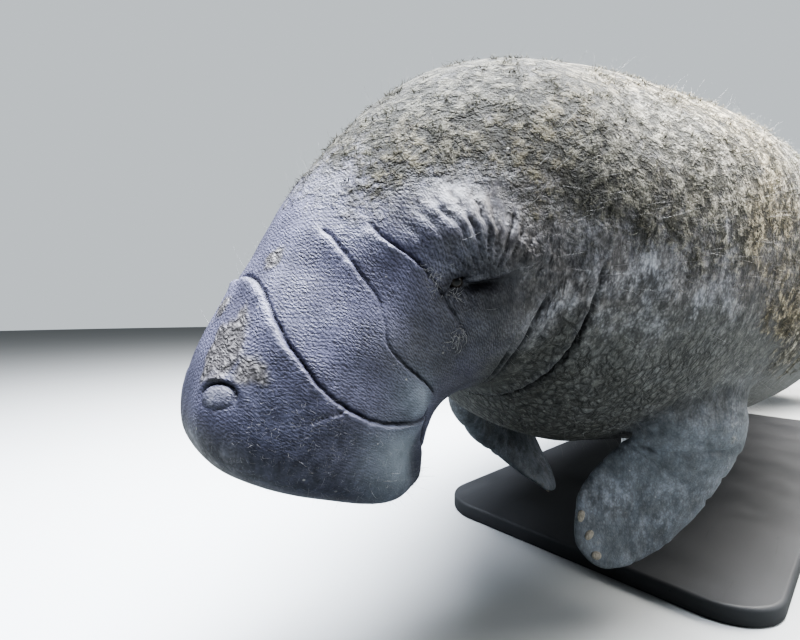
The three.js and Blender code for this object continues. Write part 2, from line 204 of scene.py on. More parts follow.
@dataclass(frozen=True)
class Crease:
    """A crease of the hide: points (along, degrees round, strength), and its profile in millimetres.

    It is faint up to the angle called faint_to, and in full from full_from.
    """

    name: str
    depth: float
    width: float
    welt: float
    lip: float
    path: tuple[tuple[float, float, float], ...]
    faint_to: float = -2.0
    full_from: float = -1.0
    in_cad: bool = True


LANDMARKS = (
    Landmark("muzzle face", 0, 71, 116, 114, 122, 2.6),
    Landmark("muzzle rim", 50, 69, 124, 128, 140, 2.4),
    Landmark("lip pads", 98, 64, 124, 137, 134, 2.2),
    Landmark("snout waist", 155, 54, 126, 138, 124, 2.2),
    Landmark("eyes", 225, 43, 142, 158, 148, 2.1),
    Landmark("cheeks", 295, 31, 172, 186, 186, 2),
    Landmark("nape", 375, 16, 212, 226, 236, 2),
    Landmark("neck", 460, 5, 252, 243, 276, 2),
    Landmark("shoulders", 590, -1, 298, 258, 310, 2),
    Landmark("chest", 810, -2, 338, 281, 332, 2.1),
    Landmark("full girth", 1150, -3, 350, 300, 332, 2.15),
    Landmark("flanks", 1500, -4, 324, 274, 294, 2.1),
    Landmark("loins", 1800, -7, 274, 230, 226, 2.05),
    Landmark("rump", 2060, -9, 216, 176, 158, 2),
    Landmark("tail stock", 2270, -9, 172, 122, 100, 1.9),
    Landmark("tail root", 2400, -7, 186, 82, 66, 1.8),
    Landmark("tail widening", 2520, -5, 252, 52, 42, 1.7),
    Landmark("tail widest", 2700, -3, 322, 32, 26, 1.7),
    Landmark("tail rear", 2810, -2, 326, 24, 20, 1.7),
    Landmark("tail edge", 3000, -1, 320, 18, 15, 1.7),
)

SWELLINGS = (
    Swelling("upper lip pad", 36, 120, 34, 5),
    Swelling("slope behind the lip", 68, 134, 42, -15),
    Swelling("nostril mound", 62, 30, 30, 7),
    Swelling("snout pad", 70, 78, 42, 5),
    Swelling("cheek pad", 150, 78, 36, 7),
    Swelling("mouth corner lobe", 126, 109, 18, 9),
    Swelling("brow", 262, 72, 26, 9),
    Swelling("eye hollow", 241, 87, 20, -12),
    Swelling("jowl", 262, 112, 40, 8),
    Swelling("chin", 150, 180, 46, 8),
    Swelling("shoulder blade", 640, 62, 110, 10),
    Swelling("shoulder hollow", 470, 55, 70, -8),
    Swelling("armpit", 770, 140, 60, -12),
)

CREASES = (
    Crease("snout fold", 5, 3.0, 3, 2.6, (
        (149, 0, 0.7), (153, 9, 0.9), (150, 23, 1), (140, 35, 1), (128, 46, 1), (116, 58, 1), (102, 72, 1),
        (94, 88, 1.1), (98, 100, 1.2), (110, 112, 1.1), (124, 120, 0.6),
    )),
    Crease("cheek fold", 4.5, 3.0, 2, 2.6, (
        (202, 38, 0.5), (200, 45, 0.9), (196, 52, 0.9), (191, 59, 0.8), (187, 66, 0.7), (182, 73, 0.4),
        (169, 79, 0.25), (157, 85, 0.7), (154, 94, 1.1), (154, 104, 1.2), (153, 118, 0.6),
    )),
    Crease("fold under the eye", 5, 3.5, 2, 3.4, (
        (223, 52, 0.3), (222, 58, 0.8), (223, 66, 1), (225, 75, 1.2), (225, 83, 1.1), (222, 91, 0.7),
        (219, 104, 0.2),
    )),
    Crease("neck fold", 9, 6, 7, 0.8, (
        (418, 30, 0.2), (408, 48, 0.6), (389, 70, 0.8), (366, 98, 1), (345, 122, 1.2), (322, 150, 1.2),
        (314, 180, 1.2),
    ), 88, 128),
    Crease("throat fold", 7, 5, 4, 0.5, ((262, 118, 0.3), (250, 135, 1), (243, 158, 1.2), (241, 180, 1.2))),
)


class BodyForm:
    """The animal's own shape, from the same named sizes as the solids, in millimetres."""

    LENGTH = 3000.0
    STEP = 5.0
    MUZZLE_RIM, MUZZLE_SQUARENESS, TAIL_ROUNDING = 50.0, 2.7, 190.0
    HEAD_TURN, TURN_FROM, TURN_TO = 12.0, 180.0, 560.0
    CLEFT_FROM, CLEFT_TO, CLEFT_DEPTH, CLEFT_WIDTH = 6.0, 76.0, 27.0, 15.0
    JAW = ((73, 34, 88), (92, 66, 80), (112, 94, 70), (131, 128, 60))
    WELT_REACH = 18.0
    EYE_AT, EYE_AROUND, EYE_RADIUS, EYE_SINK = 241.0, math.radians(87), 10.5, 5.5
    NOSTRIL_AT, NOSTRIL_AROUND = 68.0, math.radians(30)

    def __init__(self) -> None:
        """Walks the back bone and places the creases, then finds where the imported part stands."""
        at = [m.at for m in LANDMARKS]
        self.curves = {
            key: SmoothCurve(at, [getattr(m, key) for m in LANDMARKS])
            for key in ("pitch", "half", "above", "below", "square")
        }
        steps = np.arange(0, self.LENGTH, self.STEP) + self.STEP / 2
        back = self.directions(steps)[2]
        self.bone = np.vstack([np.zeros(3), np.cumsum(back * self.STEP, axis=0)])
        self.creases = [*CREASES, Crease("line of the mouth", 7, 5, 1, 0.8, self.mouth_line())]
        self.crease_points = {c.name: self.crease_line(c, 25) for c in self.creases}
        self.shift = np.zeros(3)
        low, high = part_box("eye_left")
        centre = np.array((low + high) / 2) / MM
        s, a = np.array([self.EYE_AT]), np.array([self.EYE_AROUND])
        mine = self.plain(s, a) + self.outward(s, a) * (self.relief(s, a) - self.EYE_SINK)[:, None]
        self.shift = centre - mine[0]

    def directions(self, s: Array) -> tuple[Array, Array, Array]:
        """Returns the directions left, up and back across the body at s."""
        turn = np.radians(self.HEAD_TURN * (1 - smoothstep(s, self.TURN_FROM, self.TURN_TO)))
        pitch = np.radians(self.curves["pitch"](s))
        ch, sh, cp, sp = np.cos(turn), np.sin(turn), np.cos(pitch), np.sin(pitch)
        left = np.stack([-sh, -ch, np.zeros_like(sh)], axis=-1)
        up = np.stack([-sp * ch, sp * sh, cp], axis=-1)
        back = np.stack([cp * ch, -cp * sh, sp], axis=-1)
        return left, up, back

    def bone_at(self, s: Array) -> Array:
        """Returns the back bone's places at s."""
        i = np.clip(np.floor(s / self.STEP).astype(int), 0, len(self.bone) - 2)
        t = (s / self.STEP - i)[..., None]
        return self.bone[i] * (1 - t) + self.bone[i + 1] * t

    def closing(self, s: Array) -> Array:
        """Returns how much of the full section is left near either end."""
        front = np.clip(1 - s / self.MUZZLE_RIM, 0, 1)
        rear = np.clip((s - (self.LENGTH - self.TAIL_ROUNDING)) / self.TAIL_ROUNDING, 0, 1)
        n = self.MUZZLE_SQUARENESS
        return (1 - front**n) ** (1 / n) * np.sqrt(np.maximum(0, 1 - rear * rear))

    def plain(self, s: Array, a: Array) -> Array:
        """Returns points of the plain body: s along the back bone, a round it from the top to the left."""
        c = self.closing(s)
        left, up, _ = self.directions(s)
        power = 2 / self.curves["square"](s)
        across, rise = (np.sign(x) * np.abs(x) ** power for x in (np.sin(a), np.cos(a)))
        tall = np.where(rise > 0, self.curves["above"](s), self.curves["below"](s))
        wide = self.curves["half"](s)
        return self.bone_at(s) + left * (wide * c * across)[..., None] + up * (tall * c * rise)[..., None]

    def tangents(self, s: Array, a: Array) -> tuple[Array, Array]:
        """Returns the directions along and round the plain body's surface."""
        along = self.plain(np.minimum(s + 1, self.LENGTH - 1), a) - self.plain(np.maximum(s - 1, 0.1), a)
        return unit(along), unit(self.plain(s, a + 0.01) - self.plain(s, a - 0.01))

    def outward(self, s: Array, a: Array) -> Array:
        """Returns the outward directions of the plain body's surface."""
        inner = np.clip(s, 0.2, self.LENGTH - 1.5)
        along, round_it = self.tangents(inner, a)
        face = unit(np.cross(round_it, along))
        axis = self.directions(s)[2] * np.where(s < self.LENGTH / 2, -1, 1)[:, None]
        share = np.clip(self.closing(s) * 6, 0, 1)[:, None]
        return unit(face * share + axis * (1 - share))

    def mouth_line(self) -> tuple[tuple[float, float, float], ...]:
        """Returns the path of the mouth, where the jaw's sides come out of the body."""
        exits = []
        for at, half, roof in self.JAW:
            degrees = np.arange(90, 180.5, 0.5)
            s = np.full(len(degrees), float(at))
            left, up, _ = self.directions(s)
            p = self.plain(s, np.radians(degrees)) - self.bone_at(s)
            inside = (dot(p, left) < half) & (dot(p, up) < -roof)
            exits.append((float(at), float(degrees[np.argmax(inside)]), 1.0))
        return (*reversed(exits), (float(self.JAW[0][0]), 180.0, 1.0))

    def crease_line(self, crease: Crease, count: int) -> dict[str, Array]:
        """Samples the middle of a crease.

        Args:
            crease: The crease.
            count: How many points.

        Returns:
            Their places, s, a and strength.
        """
        path = [(s, a, 100 * k) for s, a, k in crease.path]
        line = SmoothLine(path)(np.linspace(0, len(path) - 1, count))
        s, a, strength = line[:, 0], np.radians(line[:, 1]), line[:, 2] / 100
        return {"p": self.plain(s, a), "s": s, "a": a, "strength": strength}

    @staticmethod
    def nearest(p: Array, q: Array) -> tuple[Array, Array]:
        """Returns for each of p the number of the nearest of q, and how far it is."""
        index, gap = np.zeros(len(p), int), np.full(len(p), np.inf)
        for k, point in enumerate(q):
            d = np.einsum("ij,ij->i", p - point, p - point)
            closer = d < gap
            index[closer], gap[closer] = k, d[closer]
        return index, np.sqrt(gap)

    def relief(self, s: Array, a: Array, welts: float = 1.0) -> Array:
        """Works out the height of the hide over the plain body.

        Args:
            s: Places along the back bone.
            a: Angles round it.
            welts: How much of the solids' welts beside the creases is kept.

        Returns:
            The heights.
        """
        folded = np.arccos(np.cos(a))
        p = self.plain(s, folded)
        height = np.zeros(len(s))
        for crease in self.creases:
            line = self.crease_points[crease.name]
            k, gap = self.nearest(p, line["p"])
            height += welts * crease.welt * line["strength"][k] * bell(gap / self.WELT_REACH)
        for lump in SWELLINGS:
            centre = self.plain(np.array([lump.at]), np.radians([lump.around]))[0]
            height += lump.height * bell(np.linalg.norm(p - centre, axis=1) / lump.reach)
        inside = bell((math.pi - folded) * self.curves["below"](s) / self.CLEFT_WIDTH)
        ends = smoothstep(s, self.CLEFT_FROM, self.CLEFT_FROM + 30)
        ends *= 1 - smoothstep(s, self.CLEFT_TO, self.CLEFT_TO + 12)
        return height - self.CLEFT_DEPTH * inside * ends

    def local(self, s: Array, a: Array, at: float, around: float) -> tuple[Array, Array, Array]:
        """Measures places from one point of the hide.

        Args:
            s: Places along the back bone.
            a: Angles round it, folded onto the left side.
            at: The point's place along the back bone.
            around: The point's angle.

        Returns:
            How far ahead towards the tail, how far up towards the top, and the distance.
        """
        here, there = np.array([at]), np.array([around])
        along, round_it = self.tangents(here, there)
        d = self.plain(s, a) - self.plain(here, there)
        return dot(d, along), -dot(d, round_it), np.linalg.norm(d, axis=1)


@dataclass
class HideRelief:
    """The fine shape of the hide, over the solids' form: creases, eyelids, nostrils and wrinkles."""

    form: BodyForm
    welts: float = 0.45
    fan_at: float = 256.0
    fan_around: float = 94.0
    brow_folds: float = 14.8
    brow_height: float = 4.3
    nostril_at: float = 71.0
    nostril_around: float = 34.0
    nostril_across: float = 15.5
    nostril_tall: float = 10.5
    recess: Crease = Crease("recess under the brow", 9.5, 12, 0, 0, (
        (240, 87, 0.2), (246, 89.5, 0.6), (255, 91.5, 1), (265, 92.5, 1.1), (275, 93, 1), (286, 92, 0.5),
    ), in_cad=False)
    scars: tuple[tuple[float, float, float, float], ...] = (
        (104, 26, 32, 24), (94, 44, 14, 17), (127, 6, 13, 12), (169, 21, 11, 14),
    )
    extra: tuple[Crease, ...] = (
        Crease("branch of the snout fold", 1.6, 2.0, 0, 0.9, (
            (96, 82, 1), (88, 79, 1), (80, 74, 0.8), (70, 71, 0.3),
        ), in_cad=False),
        Crease("second neck crease", 4.5, 6.0, 0, 0.8, (
            (258, 150, 0.7), (262, 138, 1), (270, 126, 1.2), (284, 116, 1.2), (304, 107, 0.7),
            (322, 101, 0.2),
        ), in_cad=False),
    )

    def creases(self, s: Array, p: Array) -> tuple[Array, Array, Array]:
        """Carves the creases with a raised lip in front and a soft sag behind.

        Args:
            s: Places along the back bone.
            p: Points of the plain body there.

        Returns:
            The height; how deep in a crease each place is, as painted shade in the groove and softly behind
            it; and how far up on a lip, as a painted highlight on the raised rim.
        """
        height, deep, lip = np.zeros(len(s)), np.zeros(len(s)), np.zeros(len(s))
        for crease in (*self.form.creases, *self.extra):
            line = self.form.crease_line(crease, 240)
            near = np.flatnonzero((s > line["s"].min() - 60) & (s < line["s"].max() + 60))
            k, gap = self.form.nearest(p[near], line["p"])
            ease = smoothstep(np.degrees(line["a"]), crease.faint_to, crease.full_from)
            uneven = 1 + 0.45 * lumps(line["p"], 19, 7) + 0.25 * lumps(line["p"], 8, 8)
            uneven = np.clip(uneven, 0.2, 1.7)
            strength = (line["strength"] * (0.16 + 0.84 * ease) * uneven)[k]
            knots = 1 + 0.8 * lumps(line["p"], 9, 9) + 0.4 * lumps(line["p"], 4, 10)
            knots = np.clip(knots, 0.1, 2)[k]
            wander = 0.9 * lumps(line["p"][k], 13, 5) + 0.5 * lumps(line["p"][k], 5, 6)
            x = gap * np.sign(s[near] - line["s"][k]) + wander
            level = crease.name == "line of the mouth"
            x = np.abs(x) if level else x
            w = 0.5 * crease.width
            hollow = bell(x / w)
            sag = np.where(x > 0, np.exp(-np.abs(x) / 13), 0) * (1 - hollow)
            blunt = 1 - smoothstep(np.degrees(line["a"][k]), 44, 72)
            v = w * (1 + 0.9 * blunt)
            if level:
                rim = 0.6 * bell((x - 2.2 * w) / (1.6 * w))
            else:
                rim = 0.58 * knots * bell((x + 2.1 * v) / (1.4 * v))
            swell = 0 if level else 0.6 * crease.lip * bell((x + 10) / 10)
            cut = crease.depth * (1.1 * hollow + 0.28 * sag)
            height[near] += strength * (crease.lip * rim + swell - cut)
            # Painted shade: dark in the groove and softly behind it, stronger lower on the body.
            low = 0.50 + 0.50 * smoothstep(np.degrees(line["a"][k]), 62, 112)
            full = low * np.clip(strength, 0, 1)
            deep[near] = np.maximum(deep[near], full * bell((x - 0.3 * w) / (0.95 * w)))
            soft = 0.55 * full * np.where(x > 0, np.exp(-np.abs(x) / 6), 0)
            deep[near] = np.maximum(deep[near], soft * (0 if level else 1))
            # Painted highlight on the crease's raised rim.
            lip[near] = np.maximum(lip[near], np.clip(strength * rim, 0, 1) * min(1.0, crease.lip / 2))
        return height, deep, lip

    def eye(self, s: Array, a: Array) -> tuple[Array, Array]:
        """Raises the lids round a narrow slit, with folds that fan out over the brow.

        Args:
            s: Places along the back bone.
            a: Folded angles round it.

        Returns:
            The height, and how dark each place is: painted shade in the eye's socket, under the brow, in the
                brow's furrows and below the eye.
        """
        ahead, up, far = self.form.local(s, a, self.form.EYE_AT, self.form.EYE_AROUND)
        lid = 5.4 * np.exp(-(((ahead / 14) ** 2 + (up / 10.5) ** 2) ** 1.1))
        bow = up + 0.016 * ahead**2 - 0.8
        slit = smoothstep(1 - np.sqrt((ahead / 10.0) ** 2 + (bow / 2.3) ** 2), 0.0, 0.4)
        ring = smoothstep(far, 6, 11) * (1 - smoothstep(far, 17, 24))
        pleats = 0.7 * np.cos(np.arctan2(ahead, up) * 15) * ring
        back, rise, _ = self.form.local(s, a, self.fan_at, math.radians(self.fan_around))
        theta = np.arctan2(back, rise)
        reach = np.hypot(back * (1 + 0.42 * (back > 0)), rise)
        place = np.stack([reach / 30, theta * 2.2, np.zeros_like(far)], axis=-1)
        bend = 0.085 * lumps(place, 1.0, 11) + 0.04 * lumps(place * 3, 1.0, 12)
        sector = smoothstep(theta, -0.75, -0.2) * (1 - smoothstep(theta, 1.45, 1.85))
        wave = np.abs(np.sin((theta + bend) * self.brow_folds))
        ridge = 1 - (1 - wave) ** 1.7
        band = smoothstep(reach, 15, 36) * (1 - smoothstep(reach, 82, 112)) * sector
        knuckle = lumps(np.stack([reach / 8, theta * 4.6, np.zeros_like(far)], axis=-1) + 7, 1.0, 13)
        brow = 10 * smoothstep(reach, 9, 34) * (1 - smoothstep(reach, 60, 112)) * sector
        deeper = self.form.local(s, a, 266, math.radians(95.5))
        line = self.form.crease_line(self.recess, 60)
        pocket, dim = np.zeros(len(s)), np.zeros(len(s))
        close = np.flatnonzero(far < 90)
        k, gap = self.form.nearest(self.form.plain(s[close], a[close]), line["p"])
        below = np.sign(a[close] - line["a"][k]) * gap
        wall = np.where(below < 0, bell(below / 2.6), bell(below / (0.5 * self.recess.width)))
        pocket[close] = line["strength"][k] * wall
        # Painted shadow that the brow casts into the recess below it.
        shadow = np.where(below < 0, bell(below / 4), bell(below / 11))
        dim[close] = np.clip(line["strength"][k] * 1.2, 0, 1) * shadow
        gloom = bell(np.sqrt((deeper[0] / 42) ** 2 + ((deeper[1] + 12) / 28) ** 2))
        shade_round = bell(np.sqrt((ahead / 26) ** 2 + ((up + 1) / 13) ** 2))
        furrow = band * np.clip(1 - wave * 2.2, 0, 1)
        inner = smoothstep(reach, 8, 20) * sector * (1 - smoothstep(reach, 24, 66))
        haze = smoothstep(reach, 15, 36) * (1 - smoothstep(reach, 92, 135)) * sector
        lower = self.form.local(s, a, 222, math.radians(104))
        murk = bell(np.sqrt((lower[0] / 56) ** 2 + (lower[1] / 52) ** 2))
        height = lid - 11 * slit + pleats + brow - self.recess.depth * pocket
        height = height + self.brow_height * band * (ridge + 0.22 * knuckle - 0.7)
        # Painted shade: the socket round the eye, the brow's shadow, the gloom and murk below the eye, the
        # furrows, the inner fan and a veil over the brow.
        dark = np.maximum.reduce([
            0.95 * shade_round, dim, 0.66 * gloom, 0.65 * furrow, 0.64 * inner, 0.44 * murk, 0.34 * haze,
        ])
        return height, np.clip(dark, 0, 1)

    def nostril(self, s: Array, a: Array) -> tuple[Array, Array, Array]:
        """Shapes the closed nostril: a domed plug with a deep crescent over it.

        Args:
            s: Places along the back bone.
            a: Folded angles round it.

        Returns:
            The height, how dark each place is, as painted shade in the crescent, and how pale the plug's top
            is, as a painted highlight.
        """
        ahead, up, far = self.form.local(s, a, self.nostril_at, math.radians(self.nostril_around))
        rho = np.sqrt((up / self.nostril_across) ** 2 + (ahead / self.nostril_tall) ** 2)
        above = smoothstep(ahead / self.nostril_tall / np.maximum(rho, 0.2), -0.35, 0.9)
        slit = bell((rho - 1.06) / 0.11) * (0.16 + 0.84 * above)
        plug = 2.6 * np.clip(1 - rho**2, 0, 1) - 0.9 * bell(rho / 0.4)
        rim = 2.2 * bell((rho - 1.45) / 0.26) * above
        near = far < 60
        # Painted highlight on the plug's top.
        top = 0.40 * (1 - smoothstep(rho, 0.6, 1.0))
        height = plug + rim - 3.8 * slit
        return np.where(near, height, 0), np.where(near, 0.72 * slit, 0), np.where(near, top, 0)

    def patches(self, s: Array, a: Array, p: Array) -> Array:
        """Returns how rough and raised the hide is on the old scars over the left nostril."""
        rough = np.zeros(len(s))
        for at, around, long, wide in self.scars:
            ahead, up, far = self.form.local(s, a, at, math.radians(around))
            edge = 0.3 * lumps(p, 11, 21)
            rho = np.sqrt((ahead / long) ** 2 + (up / wide) ** 2) + edge
            rough = np.maximum(rough, (1 - smoothstep(rho, 0.8, 1.05)) * (far < 80))
        return rough

    def shape(self, s: Array, a: Array) -> dict[str, Array]:
        """Works out the hide at places on the body.

        Args:
            s: Places along the back bone.
            a: Angles round it.

        Returns:
            The points p in metres, the outward directions out, and the markings that the finishes read.
        """
        folded = np.arccos(np.cos(a))
        plain = self.form.plain(s, folded)
        height, deep, lip = self.creases(s, plain)
        lids, dark = self.eye(s, folded)
        nose, slit, plug = self.nostril(s, folded)
        rough = self.patches(s, np.where(a < 0, 3.0, folded), self.form.plain(s, a))
        here = self.form.plain(s, a)
        head = 1 - smoothstep(s, 330, 520)
        swell = 2.6 * lumps(here, 120, 31) * (1 - head)
        swell = swell + 1.1 * lumps(here, 46, 32) + 0.5 * lumps(here, 22, 33)
        rings = lumps(np.stack([s / 17, folded * 1.7, np.zeros_like(s)], axis=-1) + 9, 1.0, 34)
        swell = swell + 0.7 * rings * (1 - smoothstep(s, 260, 420)) * smoothstep(s, 90, 130)
        scar = rough * (0.9 + 0.9 * lumps(here, 6, 35))
        ends = smoothstep(s, 0, 12) * (1 - smoothstep(s, 2780, 2960))
        calm = 1 - 0.85 * bell(self.form.local(s, folded, 241, math.radians(87))[2] / 24)
        total = self.form.relief(s, a, self.welts) + height * ends + lids + nose
        total = total + swell * calm * (0.3 + 0.7 * ends) + scar
        out = self.form.outward(s, a)
        # hollow gathers painted shade from the creases, the eye and the nostril's crescent; lip gathers the
        # painted highlights on rims and the plug's top.
        hollow = np.clip(np.maximum.reduce([deep, dark, slit]), 0, 1)
        marks = self.markings(s, folded, here)
        return {
            "p": (here + out * total[:, None] + self.form.shift) * MM,
            "out": out,
            **marks,
            "fine": marks["fine"] * (1 - plug),
            "hollow": hollow,
            "lip": np.maximum(lip, plug),
            "scar": rough,
        }

    def markings(self, s: Array, folded: Array, here: Array) -> dict[str, Array]:
        """Places the colours of the hide, with painted shade on the underside and the lower cheeks.

        Args:
            s: Places along the back bone.
            folded: Angles round it, folded onto the left side.
            here: Points of the plain body there.

        Returns:
            For each marking how strong it is, from 0 to 1.
        """
        degrees = np.degrees(folded)
        edge = 14 * lumps(here, 130, 41) + 8 * lumps(here, 45, 42) + 4 * lumps(here, 18, 43)
        reach = 34 + 44 * smoothstep(s, 210, 420) + 22 * smoothstep(s, 480, 760)
        algae = (1 - smoothstep(degrees + edge, reach, reach + 34)) * smoothstep(s + edge, 175, 300)
        slate = (1 - smoothstep(s + 0.6 * edge, 70, 118)) * (0.35 + 0.65 * smoothstep(degrees, 25, 60))
        lobe = np.minimum(1, 0.85 * bell(self.form.local(s, folded, 134, math.radians(107))[2] / 27))
        # under is painted shade: the underside, over the hide's own dark greenish tone there, and at half
        # strength the cheeks below the eye.
        under = smoothstep(degrees + 0.6 * edge, 95, 122) * smoothstep(s, 165, 250)
        below = smoothstep(degrees + 0.5 * edge, 66, 98)
        below = below * smoothstep(s, 120, 170) * (1 - smoothstep(s, 290, 340))
        under = np.maximum(under, 0.5 * below * (1 - lobe))
        strip = smoothstep(s + 0.4 * edge, 288, 306) * (1 - smoothstep(s + 0.4 * edge, 340, 366))
        strip = strip * smoothstep(degrees, 76, 90)
        chest = smoothstep(degrees + 0.6 * edge, 112, 128)
        chest = chest * smoothstep(s, 320, 350) * (1 - smoothstep(s, 500, 680))
        cracks = np.maximum.reduce([strip, chest, 0.16 * smoothstep(s, 300, 400)])
        fine = (1 - smoothstep(s, 200, 340)) * smoothstep(s, 20, 60)
        cheek = bell(self.form.local(s, folded, 68, math.radians(111))[2] / 40)
        pale = np.clip(np.maximum(lobe, 1.05 * cheek) + 0.08 * edge / 14, 0, 1)
        return {"algae": algae, "slate": slate, "under": under, "cracks": cracks, "fine": fine, "pale": pale}


# hollow is painted shade, under is painted shade over the hide's darker underside, lip is a painted
# highlight.
MARKINGS = ("algae", "slate", "under", "cracks", "fine", "pale", "hollow", "lip", "scar")
FOLD_MARKINGS = ("fine", "cracks", "scar", "pale", "slate", "algae")


@dataclass(frozen=True)
class FlipperSection:
    """A cross section of a flipper: half sizes, and its place from the shoulder as back, out, down."""

    name: str
    breadth: float
    thickness: float
    left: tuple[float, float, float]
    right: tuple[float, float, float]


FLIPPER = (
    FlipperSection("root", 100, 62, (18, -70, -60), (4, -70, -60)),
    FlipperSection("armpit", 96, 50, (6, -6, 8), (10, -6, 8)),
    FlipperSection("upper arm", 87, 36, (-4, -8, 46), (34, -8, 48)),
    FlipperSection("elbow", 83, 27, (-16, -24, 84), (70, -24, 90)),
    FlipperSection("wrist", 82, 20, (-44, -50, 124), (102, -48, 132)),
    FlipperSection("palm", 76, 14, (-74, -72, 150), (128, -74, 174)),
    FlipperSection("nails", 56, 9, (-112, -92, 172), (146, -98, 212)),
    FlipperSection("tip", 16, 5, (-140, -103, 182), (156, -112, 236)),
)

# Creases round each flipper: place in sections, depth in millimetres, width in sections, turn in radians
JOINT_CREASES = (
    (1.75, 3.0, 0.07, 0.3), (2.55, 2.4, 0.05, 0.9), (3.05, 3.4, 0.055, 0.2),
    (3.4, 1.8, 0.04, 1.4), (4.35, 1.8, 0.045, 0.5), (5.3, 1.2, 0.05, 0.0),
)


@dataclass
class FlipperForm:
    """The shape of one flipper, in millimetres."""

    form: BodyForm
    side: Side
    shoulder_at: float = 655.0
    shoulder_around: float = math.radians(140)

    def __post_init__(self) -> None:
        """Lays the flipper's middle line through its sections."""
        shoulder = self.form.plain(
            np.array([self.shoulder_at]), np.array([self.side.value * self.shoulder_around])
        )[0]
        places = [f.left if self.side is Side.LEFT else f.right for f in FLIPPER]
        sign = -self.side.value
        self.line = SmoothLine([shoulder + (back, sign * out, -down) for back, out, down in places])
        numbers = range(len(FLIPPER))
        self.breadth = SmoothCurve(numbers, [f.breadth for f in FLIPPER])
        self.thickness = SmoothCurve(numbers, [f.thickness for f in FLIPPER])

    def section(self, t: Array) -> tuple[Array, Array, Array]:
        """Returns the middle, the direction out of the face and the direction of the rear edge at t."""
        t = np.clip(t, 0, len(FLIPPER) - 1)
        step = 1e-3
        last = len(FLIPPER) - 1
        tangent = unit(self.line(np.minimum(t + step, last)) - self.line(np.maximum(t - step, 0)))
        towards = np.array([-0.5, -self.side.value, 0.15])
        face = unit(towards - tangent * (tangent @ towards)[..., None])
        edge = unit(np.cross(face, tangent) * self.side.value)
        return self.line(t), face, edge

    def point(self, t: Array, a: Array) -> Array:
        """Returns points of the plain flipper: t counts its sections, a runs round it from its face."""
        middle, face, edge = self.section(t)
        return (
            middle
            + face * (self.thickness(t) * np.cos(a))[..., None]
            + edge * (self.breadth(t) * np.sin(a))[..., None]
        )

    def shape(self, t: Array, a: Array) -> Array:
        """Shapes the flipper's skin, rounded at the tip and creased at its joints.

        Args:
            t: Places along the flipper, counted in sections.
            a: Angles round it from its face.

        Returns:
            Points of the skin, in metres.
        """
        middle, face, edge = self.section(t)
        tip = np.clip((t - 6.55) / 0.45, 0, 1)
        root = np.clip((0.35 - t) / 0.35, 0, 1)
        close = np.sqrt(np.maximum(0, 1 - tip**2.4)) * np.sqrt(np.maximum(0, 1 - root**2))
        flat = np.sign(np.sin(a)) * np.abs(np.sin(a)) ** 0.92
        rim = np.abs(np.sin(a)) ** 6
        thick = self.thickness(t) * close * (1 + 0.12 * rim)
        p = middle + face * (thick * np.cos(a))[..., None]
        p = p + edge * (self.breadth(t) * close * flat)[..., None]
        wave = 0.06 * lumps(p, 60, 51)
        creases = sum(
            -depth * bell((t - at - wave - 0.10 * np.cos(a + turn)) / wide)
            for at, depth, wide, turn in JOINT_CREASES
        )
        turned = (np.degrees(a) + 180) % 360 - 180
        across = 1 - smoothstep(np.abs(turned + 8), 42, 66)
        creases = creases - 5.5 * across * bell((t - 2.04 + 0.0135 * turned - 0.6 * wave) / 0.085)
        fan = smoothstep(t, 4.2, 5.4) * (1 - smoothstep(t, 6.3, 6.8))
        bones = 1.3 * np.cos(a * 5) * fan * np.abs(np.cos(a))
        bumpy = 1.2 * lumps(p, 34, 52) + 0.5 * lumps(p, 15, 53)
        out = unit(face * np.cos(a)[..., None] / 1.0 + edge * (0.25 * np.sin(a))[..., None])
        height = (creases + bones + bumpy) * np.minimum(1, thick / 14) * close
        return (p + out * height[:, None] + self.form.shift) * MM


def deselect() -> None:
    """Leaves nothing selected and no object active in edit mode."""
    if bpy.context.object and bpy.context.object.mode != "OBJECT":
        bpy.ops.object.mode_set(mode="OBJECT")
    bpy.ops.object.select_all(action="DESELECT")


def activate(piece: bpy.types.Object) -> None:
    """Makes one object the only selected and active one."""
    deselect()
    piece.select_set(True)
    bpy.context.view_layer.objects.active = piece


def new_piece(name: str) -> bpy.types.Object:
    """Names the primitive that was just added.

    Args:
        name: The piece's name.

    Returns:
        The object.
    """
    piece = bpy.context.object
    piece.name = piece.data.name = name
    return piece


def get_points(piece: bpy.types.Object) -> Array:
    """Returns the places of a mesh's vertices."""
    co = np.empty(len(piece.data.vertices) * 3)
    piece.data.vertices.foreach_get("co", co)
    return co.reshape(-1, 3)


def set_points(piece: bpy.types.Object, points: Array) -> None:
    """Moves a mesh's vertices to new places."""
    piece.data.vertices.foreach_set("co", np.ascontiguousarray(points, float).ravel())
    piece.data.update()


def select_faces(piece: bpy.types.Object, chosen: Array) -> None:
    """Selects faces of a mesh by number, in object mode.

    Args:
        piece: The mesh object.
        chosen: One truth value for each face.
    """
    mesh = piece.data
    mesh.vertices.foreach_set("select", np.zeros(len(mesh.vertices), bool))
    mesh.edges.foreach_set("select", np.zeros(len(mesh.edges), bool))
    mesh.polygons.foreach_set("select", np.asarray(chosen, bool))
    mesh.update()


def face_middles(piece: bpy.types.Object) -> Array:
    """Returns the middle of each face."""
    co = np.empty(len(piece.data.polygons) * 3)
    piece.data.polygons.foreach_get("center", co)
    return co.reshape(-1, 3)


def split_faces(piece: bpy.types.Object, chosen: Array) -> None:
    """Halves the edges of the chosen faces."""
    activate(piece)
    select_faces(piece, chosen)
    bpy.ops.object.mode_set(mode="EDIT")
    bpy.ops.mesh.select_mode(type="FACE")
    bpy.ops.mesh.subdivide(number_cuts=1)
    bpy.ops.object.mode_set(mode="OBJECT")


